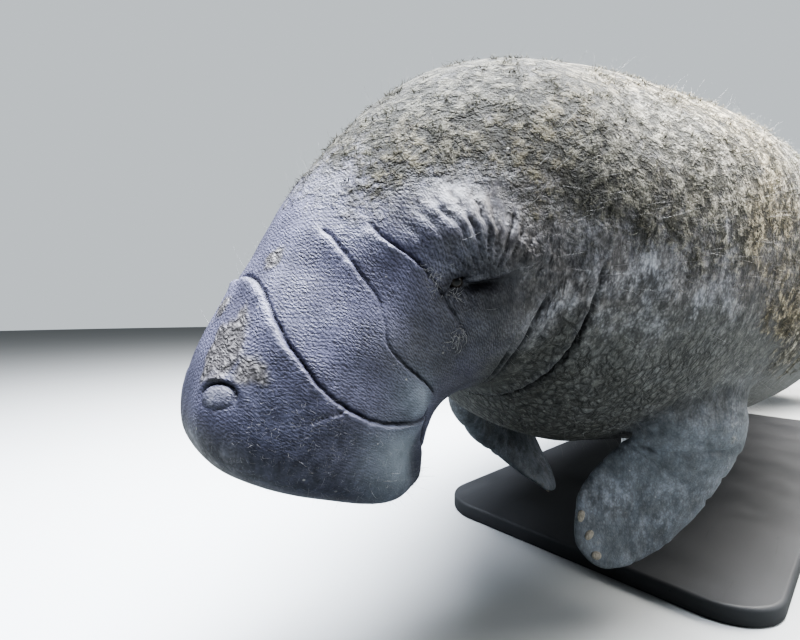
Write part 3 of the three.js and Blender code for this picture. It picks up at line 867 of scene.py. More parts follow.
def close_sheet(piece: bpy.types.Object) -> None:
    """Joins the edges of a sheet that was wrapped round, and turns its faces outwards."""
    activate(piece)
    bpy.ops.object.mode_set(mode="EDIT")
    bpy.ops.mesh.select_all(action="SELECT")
    bpy.ops.mesh.remove_doubles(threshold=0.02 * MM)
    bpy.ops.mesh.quads_convert_to_tris()
    bpy.ops.mesh.normals_make_consistent(inside=False)
    bpy.ops.object.mode_set(mode="OBJECT")


def apply_modifiers(piece: bpy.types.Object) -> None:
    """Applies all of a piece's modifiers."""
    activate(piece)
    for modifier in list(piece.modifiers):
        bpy.ops.object.modifier_apply(modifier=modifier.name)


def shade(piece: bpy.types.Object, degrees: float = 180.0) -> None:
    """Shades a piece smooth, with edges sharper than an angle kept crisp."""
    activate(piece)
    if degrees >= 180:
        bpy.ops.object.shade_smooth()
    else:
        bpy.ops.object.shade_smooth_by_angle(angle=math.radians(degrees))


def write_uv(piece: bpy.types.Object, name: str, uv: Array) -> None:
    """Writes a UV map from one pair of numbers for each vertex."""
    mesh = piece.data
    layer = mesh.uv_layers.get(name) or mesh.uv_layers.new(name=name)
    index = np.empty(len(mesh.loops), int)
    mesh.loops.foreach_get("vertex_index", index)
    layer.data.foreach_set("uv", np.ascontiguousarray(uv[index], np.float32).ravel())


def write_marking(piece: bpy.types.Object, name: str, values: Array) -> None:
    """Writes one number for each vertex, for a finish to read by name."""
    mesh = piece.data
    layer = mesh.attributes.get(name) or mesh.attributes.new(name, "FLOAT", "POINT")
    layer.data.foreach_set("value", np.ascontiguousarray(values, np.float32))


class Graph:
    """Adds nodes to a material or a group and links them."""

    def __init__(self, tree: bpy.types.NodeTree) -> None:
        """Args:
        tree: The node tree to work in.
        """
        self.tree = tree

    def put(self, value: object, socket: bpy.types.NodeSocket) -> None:
        """Links a socket to another, or sets it to a plain value."""
        if isinstance(value, bpy.types.NodeSocket):
            self.tree.links.new(value, socket)
        elif value is not None:
            socket.default_value = value

    def add(self, kind: str, inputs: dict | None = None, **settings: object) -> bpy.types.Node:
        """Adds a node.

        Args:
            kind: Blender's name of the node's type, without ShaderNode.
            inputs: Values or sockets for its inputs, by name or number.
            **settings: The node's own settings.

        Returns:
            The node.
        """
        node = self.tree.nodes.new("ShaderNode" + kind)
        for key, value in settings.items():
            setattr(node, key, value)
        for key, value in (inputs or {}).items():
            self.put(value, node.inputs[key])
        return node

    def math(self, operation: str, *values: object, clamp: bool = False) -> bpy.types.NodeSocket:
        """Returns the result of a Math node on the values."""
        node = self.add("Math", dict(enumerate(values)), operation=operation, use_clamp=clamp)
        return node.outputs[0]

    def mix(self, factor: object, a: object, b: object, blend: str = "MIX") -> bpy.types.NodeSocket:
        """Returns a colour mixed from a to b by the factor."""
        node = self.add("Mix", data_type="RGBA", blend_type=blend)
        for key, value in ((0, factor), (6, a), (7, b)):
            self.put(value, node.inputs[key])
        return node.outputs[2]

    def ease(
        self, value: object, low: float, high: float, to: tuple[float, float] = (0, 1)
    ) -> bpy.types.NodeSocket:
        """Returns a value brought smoothly from one range to another."""
        node = self.add(
            "MapRange",
            {"Value": value, "From Min": low, "From Max": high, "To Min": to[0], "To Max": to[1]},
            interpolation_type="SMOOTHSTEP",
        )
        return node.outputs[0]

    def noise(
        self, vector: object, scale: float, detail: float = 3, rough: float = 0.55
    ) -> bpy.types.NodeSocket:
        """Returns a noise between 0 and 1."""
        node = self.add("TexNoise", {"Vector": vector, "Scale": scale, "Detail": detail, "Roughness": rough})
        return node.outputs[0]

    def cells(self, vector: object, scale: float, feature: str = "DISTANCE_TO_EDGE") -> bpy.types.NodeSocket:
        """Returns the distance inside irregular cells."""
        return self.add("TexVoronoi", {"Vector": vector, "Scale": scale}, feature=feature).outputs[0]

    def scaled(self, vector: object, scale: tuple[float, float, float]) -> bpy.types.NodeSocket:
        """Returns a pattern's coordinates stretched along its axes."""
        return self.add("Mapping", {"Vector": vector, "Scale": scale}).outputs[0]

    def warped(self, vector: object, scale: float, amount: float) -> bpy.types.NodeSocket:
        """Returns coordinates pushed about by a noise."""
        node = self.add("TexNoise", {"Vector": vector, "Scale": scale, "Detail": 2})
        centred = {0: node.outputs[1], 1: (0.5, 0.5, 0.5)}
        shift = self.add("VectorMath", centred, operation="SUBTRACT").outputs[0]
        push = self.add("VectorMath", {0: shift, "Scale": amount}, operation="SCALE").outputs[0]
        return self.add("VectorMath", {0: vector, 1: push}, operation="ADD").outputs[0]

    def read(self, name: str) -> bpy.types.NodeSocket:
        """Returns a marking that is written on the mesh."""
        return self.add("Attribute", attribute_name=name).outputs["Fac"]


def make_group(
    name: str, inputs: dict[str, float | str], outputs: dict[str, str]
) -> tuple[bpy.types.NodeTree, Graph, dict, dict]:
    """Starts a shader node group with named sockets.

    Args:
        name: The group's name.
        inputs: For each input its default, or "vector" or "colour".
        outputs: For each output its kind, value or colour.

    Returns:
        The group, its graph, and its inner sockets for the inputs and outputs.
    """
    tree = bpy.data.node_groups.new(name, "ShaderNodeTree")
    kinds = {"vector": "NodeSocketVector", "colour": "NodeSocketColor", "value": "NodeSocketFloat"}
    for key, default in inputs.items():
        kind = kinds[default] if isinstance(default, str) else kinds["value"]
        socket = tree.interface.new_socket(name=key, in_out="INPUT", socket_type=kind)
        if not isinstance(default, str):
            socket.default_value = default
    for key, kind in outputs.items():
        tree.interface.new_socket(name=key, in_out="OUTPUT", socket_type=kinds[kind])
    graph = Graph(tree)
    start, end = tree.nodes.new("NodeGroupInput"), tree.nodes.new("NodeGroupOutput")
    return tree, graph, {s.name: s for s in start.outputs}, {s.name: s for s in end.inputs}


def algae_cover_group() -> bpy.types.NodeTree:
    """Builds the ragged edge of the algae's cover.

    Returns:
        A group that says how much algae lies at each place.
    """
    tree, g, get, out = make_group("Algae cover", {"Place": "vector", "algae": 0.0}, {"Growth": "value"})
    middle, small = g.noise(get["Place"], 26.0, 3, 0.65), g.noise(get["Place"], 95.0, 4, 0.72)
    patch = g.math("ADD", g.math("MULTIPLY", middle, 0.5), g.math("MULTIPLY", small, 0.5))
    cover = g.math("ADD", get["algae"], g.math("MULTIPLY", g.math("SUBTRACT", patch, 0.5), 3.2))
    g.put(g.math("MULTIPLY", g.ease(cover, 0.15, 0.95), g.ease(get["algae"], 0.01, 0.25)), out["Growth"])
    return tree


def hide_colour_group() -> bpy.types.NodeTree:
    """Builds the hide's colours, which the skin, the algae and the hairs share.

    Returns:
        A group that mixes the greys and the algae, with painted shade in the creases, hollows and underside,
        and painted highlights on rims, wrinkles and heaps.
    """
    tree, g, get, out = make_group(
        "Hide colours",
        {"Place": "vector", **{name: 0.0 for name in MARKINGS}, "Wrinkle": 0.5},
        {"Colour": "colour", "Roughness": "value"},
    )
    place = get["Place"]
    cover = g.add("Group", node_tree=bpy.data.node_groups["Algae cover"])
    g.put(place, cover.inputs["Place"])
    g.put(get["algae"], cover.inputs["algae"])
    growth = cover.outputs["Growth"]
    broad = g.noise(place, 5.0, 2)
    middle = g.noise(place, 26.0, 4, 0.65)
    small = g.noise(place, 95.0, 4, 0.72)
    tiny = g.noise(place, 420.0, 3, 0.75)
    grey = g.mix(g.ease(middle, 0.3, 0.7), (0.054, 0.053, 0.079, 1), (0.107, 0.106, 0.156, 1))
    streak = g.noise(g.scaled(place, (1, 1, 0.36)), 58.0, 4, 0.72)
    mottle = g.math("ADD", g.math("MULTIPLY", small, 0.45), g.math("MULTIPLY", streak, 0.55))
    body = g.mix(g.ease(mottle, 0.40, 0.60), (0.120, 0.120, 0.128, 1), (0.540, 0.543, 0.570, 1))
    body = g.mix(g.ease(middle, 0.40, 0.60), g.mix(1.0, body, (0.56, 0.53, 0.49, 1), "MULTIPLY"), body)
    body = g.mix(g.ease(broad, 0.4, 0.65), body, g.mix(1.0, body, (0.76, 0.72, 0.66, 1), "MULTIPLY"))
    back = g.add("SeparateXYZ", {0: place}).outputs[0]
    shaded = g.math("MULTIPLY", get["algae"], g.ease(back, -1.20, -1.02, (1.0, 0.0)))
    body = g.mix(shaded, body, g.mix(1.0, body, (0.34, 0.33, 0.32, 1), "MULTIPLY"))
    colour = g.mix(g.math("MULTIPLY", g.math("SUBTRACT", 1.0, get["fine"]), 0.85), grey, body)
    slate = g.mix(g.ease(small, 0.3, 0.7), (0.018, 0.019, 0.031, 1), (0.050, 0.052, 0.078, 1))
    colour = g.mix(get["slate"], colour, slate)
    soft = g.mix(g.ease(middle, 0.3, 0.7), (0.115, 0.134, 0.155, 1), (0.220, 0.252, 0.288, 1))
    colour = g.mix(get["pale"], colour, soft)
    # Painted shade on the underside and the lower cheeks, over the hide's own dark greenish tone.
    below = g.mix(g.ease(small, 0.3, 0.7), (0.029, 0.030, 0.026, 1), (0.098, 0.098, 0.084, 1))
    colour = g.mix(g.math("MULTIPLY", get["under"], 0.90), colour, below)
    quiet = g.math("MULTIPLY", get["pale"], 0.7), g.math("MULTIPLY", get["slate"], 0.5)
    calm = g.math("ADD", *quiet, clamp=True)
    # Painted light and shade on the wrinkles: lighter on their tops, darker in the hollows between them, less
    # so on the pale and slate parts.
    wrinkle_light_and_shade = g.mix(g.ease(get["Wrinkle"], 0.10, 0.80), (0.50, 0.49, 0.49, 1), (1.80, 1.81, 1.86, 1))
    colour = g.mix(g.math("SUBTRACT", 1.0, calm), colour, g.mix(1.0, colour, wrinkle_light_and_shade, "MULTIPLY"))
    tan = g.mix(g.ease(small, 0.36, 0.64), (0.170, 0.154, 0.122, 1), (0.520, 0.484, 0.405, 1))
    tan = g.mix(g.ease(broad, 0.45, 0.6), tan, g.mix(1.0, tan, (1.05, 0.98, 0.84, 1), "MULTIPLY"))
    tan = g.mix(g.ease(tiny, 0.35, 0.65), g.mix(1.0, tan, (0.50, 0.49, 0.47, 1), "MULTIPLY"), tan)
    # Painted highlights: pale flecks on the algae.
    tan = g.mix(g.ease(tiny, 0.58, 0.70), tan, (0.60, 0.57, 0.50, 1))
    tan = g.mix(g.ease(back, -1.20, -0.90), g.mix(1.0, tan, (0.23, 0.235, 0.225, 1), "MULTIPLY"), tan)
    # Painted light and shade on the algae: lighter on the tops of its heaps, darker in the pits between them.
    heap_light_and_shade = g.mix(g.ease(get["Wrinkle"], 0.25, 0.75), (0.30, 0.30, 0.28, 1), (1.60, 1.60, 1.60, 1))
    tan = g.mix(1.0, tan, heap_light_and_shade, "MULTIPLY")
    colour = g.mix(growth, colour, tan)
    dirt = g.ease(g.noise(place, 60.0, 4, 0.8), 0.48, 0.59)
    dirt = g.math("MULTIPLY", dirt, g.ease(get["algae"], 0.12, 0.7))
    colour = g.mix(g.math("MULTIPLY", dirt, 0.7), colour, (0.040, 0.039, 0.033, 1))
    crust = g.mix(g.ease(get["Wrinkle"], 0.2, 0.8), (0.084, 0.078, 0.078, 1), (0.190, 0.178, 0.172, 1))
    colour = g.mix(g.math("MULTIPLY", get["scar"], 0.85), colour, crust)
    # Painted highlight, pale lavender, on the creases' raised rims and the nostril plug's top.
    colour = g.mix(g.math("MULTIPLY", get["lip"], 0.26), colour, (0.230, 0.235, 0.310, 1))
    # Painted shade, near black, in the creases, round the eye, in the nostril's crescent and along the
    # flippers' seams.
    colour = g.mix(g.math("MULTIPLY", get["hollow"], 0.95, clamp=True), colour, (0.008, 0.008, 0.011, 1))
    speck = g.ease(g.cells(place, 70.0, "F1"), 0.12, 0.06)
    pick = g.ease(g.noise(place, 33.0, 1), 0.58, 0.66)
    colour = g.mix(g.math("MULTIPLY", g.math("MULTIPLY", speck, pick), 0.5), colour, (0.52, 0.50, 0.46, 1))
    g.put(colour, out["Colour"])
    g.put(g.ease(growth, 0, 1, (0.50, 0.9)), out["Roughness"])
    return tree


def hide_relief_group() -> bpy.types.NodeTree:
    """Builds the heights of the hide's fine wrinkles, cracks and growth.

    Returns:
        A group with the height in millimetres, and how far up on its wrinkles each place is.
    """
    tree, g, get, out = make_group(
        "Hide wrinkles",
        {"Flat": "vector", "Place": "vector", **{name: 0.0 for name in FOLD_MARKINGS}},
        {"Height": "value", "Wrinkle": "value"},
    )
    place = get["Place"]
    cover = g.add("Group", node_tree=bpy.data.node_groups["Algae cover"])
    g.put(place, cover.inputs["Place"])
    g.put(get["algae"], cover.inputs["algae"])
    flat = g.warped(get["Flat"], 34.0, 0.007)

    def waves(stretch: float, turn: float, scale: float, bend: float) -> bpy.types.NodeSocket:
        """Returns winding bands that run round the head."""
        turned = {"Vector": flat, "Rotation": (0, 0, turn), "Scale": (stretch, 1, 1)}
        vector = g.add("Mapping", turned).outputs[0]
        inputs = {"Vector": vector, "Scale": scale, "Distortion": bend, "Detail": 3.0, "Detail Scale": 1.9}
        node = g.add("TexWave", inputs, wave_type="BANDS", bands_direction="Y", wave_profile="SIN")
        return node.outputs[1]

    first, second = waves(0.50, 0.40, 132.0, 6.5), waves(0.60, -0.52, 108.0, 6.5)
    grain = g.noise(place, 420.0, 3, 0.7)
    net = g.ease(g.cells(g.scaled(place, (1, 1, 1.35)), 330.0), 0.0, 0.42)
    knit = g.math("MULTIPLY", g.math("ADD", first, second), 0.26)
    knit = g.math("ADD", knit, g.math("MULTIPLY", net, 0.24))
    knit = g.math("ADD", knit, g.math("MULTIPLY", grain, 0.30))
    streak = g.noise(g.scaled(place, (1, 1, 0.45)), 110.0, 4, 0.72)
    pebble = g.ease(g.cells(g.scaled(place, (1, 1, 0.7)), 240.0), 0.0, 0.5)
    plain = g.math("ADD", g.math("MULTIPLY", g.ease(streak, 0.3, 0.7), 0.6), g.math("MULTIPLY", pebble, 0.4))
    knit = g.mix(g.ease(get["fine"], 0.0, 0.9), plain, knit)
    patchy = g.ease(g.noise(place, 42.0, 2), 0.35, 0.65, (0.45, 1.1))
    warped = g.warped(place, 22.0, 0.020)
    crack = g.ease(g.cells(g.scaled(warped, (1, 1, 0.62)), 92.0), 0.0, 0.27)
    lesser = g.ease(g.cells(g.scaled(warped, (1, 1, 0.8)), 230.0), 0.0, 0.45)
    cracked = g.math("ADD", g.math("MULTIPLY", crack, 0.5), g.math("MULTIPLY", lesser, 0.3))
    cracked = g.math("ADD", cracked, g.math("MULTIPLY", g.ease(streak, 0.3, 0.7), 0.2))
    rough = g.noise(place, 330.0, 3, 0.75)
    crust = g.ease(g.cells(g.scaled(g.warped(place, 60.0, 0.014), (1, 0.8, 0.6)), 150.0), 0.0, 0.40)
    smooth = g.math("SUBTRACT", 1.0, g.math("MULTIPLY", get["pale"], 0.75))
    strength = g.math("MULTIPLY", g.ease(get["fine"], 0, 1, (0.60, 1.0)), smooth)
    strength = g.math("MULTIPLY", strength, patchy)
    strength = g.math("MULTIPLY", strength, g.ease(get["slate"], 0, 1, (1.0, 0.45)))
    height = g.math("MULTIPLY", knit, strength)
    height = g.math("ADD", height, g.math("MULTIPLY", g.math("MULTIPLY", cracked, 3.0), get["cracks"]))
    height = g.math("ADD", height, g.math("MULTIPLY", rough, 0.5))
    heaps = g.ease(g.noise(warped, 62.0, 4, 0.68), 0.36, 0.64)
    mats = g.math("MULTIPLY", g.noise(place, 260.0, 3, 0.7), 3.5)
    mats = g.math("ADD", g.math("MULTIPLY", heaps, 4.5), mats)
    height = g.math("ADD", height, g.math("MULTIPLY", mats, cover.outputs["Growth"]))
    height = g.math("ADD", height, g.math("MULTIPLY", g.math("MULTIPLY", crust, 1.4), get["scar"]))
    g.put(height, out["Height"])
    shown = g.mix(get["cracks"], knit, g.math("ADD", g.math("MULTIPLY", cracked, 0.62), 0.12))
    shown = g.mix(get["scar"], shown, crust)
    shown = g.mix(cover.outputs["Growth"], shown, heaps)
    g.put(shown, out["Wrinkle"])
    return tree


@dataclass
class Finishes:
    """Every finish of the model, built once."""

    made: dict[str, bpy.types.Material] = field(default_factory=dict)

    def start(self, name: str, **plain: object) -> tuple[bpy.types.Material, Graph, bpy.types.Node]:
        """Starts a material.

        Args:
            name: Its name.
            **plain: Constants for the shader's own sockets, with spaces written as underscores.

        Returns:
            The material, its graph and its shader.
        """
        material = bpy.data.materials.new(name)
        material.use_nodes = True
        tree = material.node_tree
        shader = tree.nodes["Principled BSDF"]
        for key, value in plain.items():
            shader.inputs[key.replace("_", " ")].default_value = value
        self.made[name] = material
        return material, Graph(tree), shader

    def bump(self, g: Graph, shader: bpy.types.Node, height: object, reach: float = MM) -> None:
        """Feeds a height, in the reach's unit, into the shader's normal."""
        node = g.add("Bump", {"Strength": 1.0, "Distance": reach, "Height": height})
        g.put(node.outputs[0], shader.inputs["Normal"])

    def hide(self) -> bpy.types.Material:
        """Builds the skin: wrinkled grey hide with algae on the back.

        Returns:
            The material.
        """
        material, g, shader = self.start("manatee_hide", IOR=1.42)
        place = g.add("TexCoord").outputs["Object"]
        flat = g.add("UVMap", uv_map="HideFlat").outputs[0]
        marks = {name: g.read(name) for name in MARKINGS}
        algae_cover_group()
        relief = g.add("Group", node_tree=hide_relief_group())
        colours = g.add("Group", node_tree=hide_colour_group())
        for node, keys in ((relief, FOLD_MARKINGS), (colours, MARKINGS)):
            for key in keys:
                g.put(marks[key], node.inputs[key])
            g.put(place, node.inputs["Place"])
        g.put(flat, relief.inputs["Flat"])
        g.put(relief.outputs["Wrinkle"], colours.inputs["Wrinkle"])
        g.put(colours.outputs["Colour"], shader.inputs["Base Color"])
        g.put(colours.outputs["Roughness"], shader.inputs["Roughness"])
        self.bump(g, shader, relief.outputs["Height"])
        return material

    def root_colour(self, g: Graph, place: bpy.types.NodeSocket) -> bpy.types.NodeSocket:
        """Returns the hide's colour at a strand's root, painted shade and highlights included, from the
        markings that the strand carries.
        """
        colours = g.add("Group", node_tree=bpy.data.node_groups["Hide colours"])
        for name in MARKINGS:
            g.put(g.read(name), colours.inputs[name])
        g.put(place, colours.inputs["Place"])
        return colours.outputs["Colour"]

    def algae(self) -> bpy.types.Material:
        """Builds the algae tufts: the hide's own markings, turned towards tan."""
        material, g, shader = self.start("algae_tufts", Roughness=0.92)
        place = g.add("TexCoord").outputs["Object"]
        tiny = g.noise(place, 160.0, 3)
        tan = g.mix(g.ease(tiny, 0.35, 0.65), (0.120, 0.105, 0.075, 1), (0.500, 0.455, 0.360, 1))
        tan = g.mix(g.ease(g.noise(place, 40.0, 2), 0.45, 0.65), tan, (0.150, 0.150, 0.085, 1))
        back = g.add("SeparateXYZ", {0: place}).outputs[0]
        tan = g.mix(g.ease(back, -1.20, -0.75), g.mix(1.0, tan, (0.34, 0.35, 0.30, 1), "MULTIPLY"), tan)
        g.put(g.mix(0.6, tan, self.root_colour(g, place)), shader.inputs["Base Color"])
        return material

    def hairs(self) -> bpy.types.Material:
        """Builds the thin colourless hairs, a little paler than the hide round their roots."""
        material, g, shader = self.start("pale_hairs", Roughness=0.45)
        place = g.add("TexCoord").outputs["Object"]
        pale = g.mix(g.ease(g.noise(place, 90.0, 2), 0.3, 0.7), (0.42, 0.40, 0.38, 1), (0.72, 0.71, 0.70, 1))
        g.put(g.mix(0.45, pale, self.root_colour(g, place)), shader.inputs["Base Color"])
        return material

    def eye(self, name: str, centre: Array, gaze: Array) -> bpy.types.Material:
        """Builds a dark wet eye.

        Args:
            name: The finish's name.
            centre: The eyeball's middle, in metres.
            gaze: The direction it looks in.

        Returns:
            The material.
        """
        wet = {"Roughness": 0.30, "IOR": 1.36, "Coat_Weight": 0.15, "Coat_Roughness": 0.12}
        material, g, shader = self.start(name, **wet)
        place = g.add("TexCoord").outputs["Object"]
        arm = g.add("VectorMath", {0: place, 1: tuple(centre)}, operation="SUBTRACT").outputs[0]
        ray = g.add("VectorMath", {0: arm}, operation="NORMALIZE").outputs[0]
        facing = g.add("VectorMath", {0: ray, 1: tuple(gaze)}, operation="DOT_PRODUCT").outputs["Value"]
        fine = g.add("VectorMath", {0: ray, "Scale": 9.0}, operation="SCALE").outputs[0]
        streak = g.noise(fine, 3.0, 5)
        iris = g.mix(g.ease(streak, 0.3, 0.7), (0.008, 0.006, 0.005, 1), (0.026, 0.018, 0.013, 1))
        white = g.mix(g.ease(streak, 0.3, 0.7), (0.012, 0.010, 0.010, 1), (0.026, 0.022, 0.021, 1))
        colour = g.mix(g.ease(facing, 0.72, 0.78), white, iris)
        colour = g.mix(g.ease(facing, 0.955, 0.97), colour, (0.002, 0.002, 0.003, 1))
        g.put(colour, shader.inputs["Base Color"])
        return material

    def nail(self) -> bpy.types.Material:
        """Builds the worn horn of the nails."""
        material, g, shader = self.start("worn_horn", Specular_IOR_Level=0.4)
        place = g.add("TexCoord").outputs["Object"]
        ridge = g.noise(g.scaled(place, (900, 900, 120)), 1.0, 3)
        colour = g.mix(g.ease(ridge, 0.3, 0.7), (0.190, 0.170, 0.138, 1), (0.380, 0.345, 0.285, 1))
        g.put(colour, shader.inputs["Base Color"])
        g.put(g.ease(ridge, 0, 1, (0.42, 0.62)), shader.inputs["Roughness"])
        self.bump(g, shader, ridge, 0.4 * MM)
        return material

    def board(self) -> bpy.types.Material:
        """Builds the stand's board: matt dark grey paint, with the wood's grain just felt under it."""
        material, g, shader = self.start("matt_paint", Specular_IOR_Level=0.4)
        place = g.add("TexCoord").outputs["Object"]
        grain = g.noise(g.scaled(g.warped(place, 1.4, 0.10), (3.0, 85, 85)), 1.0, 8, 0.68)
        cloud = g.noise(place, 7.0, 5, 0.6)
        colour = g.mix(g.ease(cloud, 0.3, 0.7), (0.040, 0.042, 0.046, 1), (0.060, 0.062, 0.067, 1))
        colour = g.mix(g.ease(grain, 0.62, 0.72), colour, (0.034, 0.035, 0.038, 1))
        g.put(colour, shader.inputs["Base Color"])
        g.put(g.ease(cloud, 0.3, 0.7, (0.52, 0.66)), shader.inputs["Roughness"])
        self.bump(g, shader, grain, 0.35 * MM)
        return material

    def steel(self) -> bpy.types.Material:
        """Builds the rods' brushed steel."""
        material, g, shader = self.start("brushed_rod", Metallic=1.0)
        place = g.add("TexCoord").outputs["Object"]
        brush = g.noise(g.scaled(place, (60, 60, 2600)), 1.0, 3)
        g.put(g.mix(brush, (0.40, 0.41, 0.42, 1), (0.62, 0.63, 0.64, 1)), shader.inputs["Base Color"])
        g.put(g.ease(brush, 0, 1, (0.26, 0.42)), shader.inputs["Roughness"])
        self.bump(g, shader, brush, 0.15 * MM)
        return material

    def floor(self) -> bpy.types.Material:
        """Builds the plain pale floor. It is dark to every ray but the camera's, so it throws little bounce
        light onto the animal's underside.
        """
        material, g, shader = self.start("studio_floor", Roughness=0.9)
        place = g.add("TexCoord").outputs["Object"]
        tone = g.noise(place, 1.2, 3)
        pale = g.mix(tone, (0.60, 0.62, 0.63, 1), (0.64, 0.655, 0.66, 1))
        seen = g.add("LightPath").outputs["Is Camera Ray"]
        g.put(g.mix(seen, (0.12, 0.13, 0.13, 1), pale), shader.inputs["Base Color"])
        return material


def finish_piece(piece: bpy.types.Object, material: bpy.types.Material, slot: Slot, *nodes: str) -> None:
    """Gives a piece its finish and its place in the frame.

    Args:
        piece: The piece.
        material: Its finish.
        slot: The record's slot of the finish; not used.
        *nodes: The CAD nodes that it stands for.
    """
    piece.data.materials.clear()
    piece.data.materials.append(material)
    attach(piece, "root")
    if nodes:
        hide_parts(*nodes)
    count = sum(len(p.vertices) - 2 for p in piece.data.polygons)
    log.info("%s: %d triangles", piece.name, count)


@dataclass
class Skin:
    """The one skin over the whole animal."""

    form: BodyForm
    relief: HideRelief
    columns: int = 74
    head_row: float = 17.5
    body_row: float = 25.0
    limb_grid: tuple[int, int] = (48, 84)
    flesh: tuple[str, ...] = (
        "snout", "lower_jaw", "head", "neck", "chest", "belly", "loins", "tail_stock", "tail_paddle",
        "flipper_left", "flipper_right",
    )

    def rows(self) -> Array:
        """Returns the places along the back bone of the sheet's rows, even along the surface."""
        s = np.concatenate([
            self.form.MUZZLE_RIM * (np.linspace(0, 1, 400) ** 3)[:-1],
            np.linspace(self.form.MUZZLE_RIM, 2800, 2000)[:-1],
            self.form.LENGTH - 200 * (1 - np.linspace(0, 1, 600)) ** 2,
        ])
        p = self.form.plain(s, np.full(len(s), math.radians(95)))
        pace = np.where(s < 880, self.head_row, self.body_row)
        walk = np.concatenate([[0], np.cumsum(np.linalg.norm(np.diff(p, axis=0), axis=1) / pace[1:])])
        count = int(round(walk[-1]))
        return np.interp(np.linspace(0, walk[-1], count + 1), walk, s)

    def places(self, flat: Array) -> tuple[Array, Array]:
        """Returns where points of the flat sheet lie along the back bone and round it."""
        rows = self.rows()
        y = (flat[:, 1] + 1) / 2 * (len(rows) - 1)
        return np.interp(y, np.arange(len(rows)), rows), flat[:, 0] * math.pi

    def detail(self, s: Array, a: Array, level: int) -> Array:
        """Says where the sheet needs another halving.

        Args:
            s: Places along the back bone.
            a: Angles round it.
            level: How often it has been halved.

        Returns:
            One truth value for each place.
        """
        folded = np.arccos(np.cos(a))
        if level == 0:
            return s < 900
        if level == 1:
            return s < 405
        _, up, eye = self.form.local(s, folded, self.form.EYE_AT, self.form.EYE_AROUND)
        nose = self.form.local(s, folded, self.form.NOSTRIL_AT, self.form.NOSTRIL_AROUND)[2]
        close = np.zeros(len(s), bool)
        p = self.form.plain(s, folded)
        for crease in (*self.form.creases, *self.relief.extra):
            line = self.form.crease_line(crease, 60)
            gap = self.form.nearest(p, line["p"])[1]
            if level == 3:
                close |= (gap < 4) & (crease.name in ("snout fold", "cheek fold", "fold under the eye"))
            else:
                close |= gap < (10 if crease.in_cad else 6)
        if level == 3:
            return close | (eye < 25) | (nose < 22)
        return close | ((eye < 82) & (up > -8)) | (eye < 34) | (nose < 30)

    def sheet(self) -> bpy.types.Object:
        """Lays out the flat sheet, finer where the hide has more shape, and wraps it round the body.

        Returns:
            The body's closed skin.
        """
        deselect()
        rows = len(self.rows()) - 1
        bpy.ops.mesh.primitive_grid_add(x_subdivisions=self.columns, y_subdivisions=rows, size=2)
        piece = new_piece("skin")
        for level in range(4):
            s, a = self.places(face_middles(piece))
            split_faces(piece, self.detail(s, a, level))
        flat = get_points(piece)
        s, a = self.places(flat)
        write_uv(piece, "HideFlat", np.stack([a * self.girth(s), s * MM], axis=-1))
        set_points(piece, self.relief.shape(s, a)["p"])
        close_sheet(piece)
        return piece

    def girth(self, s: Array) -> Array:
        """Returns the mean radius of the body in metres, which scales the flat pattern round it."""
        c = self.form.curves
        return (c["half"](s) * 2 + c["above"](s) + c["below"](s)) / 4 * MM

    def limb(self, side: Side) -> bpy.types.Object:
        """Wraps a small sheet round a flipper.

        Args:
            side: Which flipper.

        Returns:
            The flipper's closed skin.
        """
        flipper = FlipperForm(self.form, side)
        deselect()
        across, along = self.limb_grid
        bpy.ops.mesh.primitive_grid_add(x_subdivisions=across, y_subdivisions=along, size=2)
        piece = new_piece("limb_" + side.word)
        flat = get_points(piece)
        t = (flat[:, 1] + 1) / 2
        t = (len(FLIPPER) - 1) * (1 - (1 - t) ** 1.25)
        a = flat[:, 0] * math.pi
        shift = 5.0 if side is Side.LEFT else 7.0
        write_uv(piece, "HideFlat", np.stack([a * 0.075, shift + t * 0.045], axis=-1))
        set_points(piece, flipper.shape(t, a))
        close_sheet(piece)
        return piece

    def join(self, skin: bpy.types.Object, limb: bpy.types.Object) -> None:
        """Fuses a flipper into the skin."""
        activate(skin)
        bpy.ops.object.modifier_add(type="BOOLEAN")
        union = skin.modifiers[-1]
        union.operation, union.solver, union.object = "UNION", "MANIFOLD", limb
        bpy.ops.object.modifier_apply(modifier=union.name)
        bpy.data.objects.remove(limb)

    def corner_places(self, skin: bpy.types.Object) -> tuple[Array, Array]:
        """Reads where the vertices lie on the flat pattern.

        Args:
            skin: The skin.

        Returns:
            One place for each vertex, and whether its corners' places lie apart.
        """
        mesh = skin.data
        uv = np.empty(len(mesh.loops) * 2, np.float32)
        mesh.uv_layers["HideFlat"].data.foreach_get("uv", uv)
        uv = uv.reshape(-1, 2)
        index = np.empty(len(mesh.loops), int)
        mesh.loops.foreach_get("vertex_index", index)
        first = np.zeros((len(mesh.vertices), 2))
        first[index] = uv
        low, high = np.full(len(mesh.vertices), np.inf), np.full(len(mesh.vertices), -np.inf)
        np.minimum.at(low, index, uv[:, 1])
        np.maximum.at(high, index, uv[:, 1])
        return first, high - low > 0.5

    def relax(self, skin: bpy.types.Object, values: Array, weight: Array, rounds: int) -> Array:
        """Averages values over neighbouring vertices, again and again.

        Args:
            skin: The skin.
            values: One row for each vertex.
            weight: How much each vertex takes part, from 0 to 1.
            rounds: How often.

        Returns:
            The smoothed values.
        """
        edges = np.empty(len(skin.data.edges) * 2, int)
        skin.data.edges.foreach_get("vertices", edges)
        edges = edges.reshape(-1, 2)
        edges = edges[np.any(weight[edges] > 0, axis=1)]
        count = np.zeros(len(values))
        np.add.at(count, edges.ravel(), 1)
        for _ in range(rounds):
            total = np.zeros_like(values)
            np.add.at(total, edges[:, 0], values[edges[:, 1]])
            np.add.at(total, edges[:, 1], values[edges[:, 0]])
            mean = np.where(count[:, None] > 0, total / np.maximum(count, 1)[:, None], values)
            values = values + (mean - values) * 0.6 * weight[:, None]
        return values

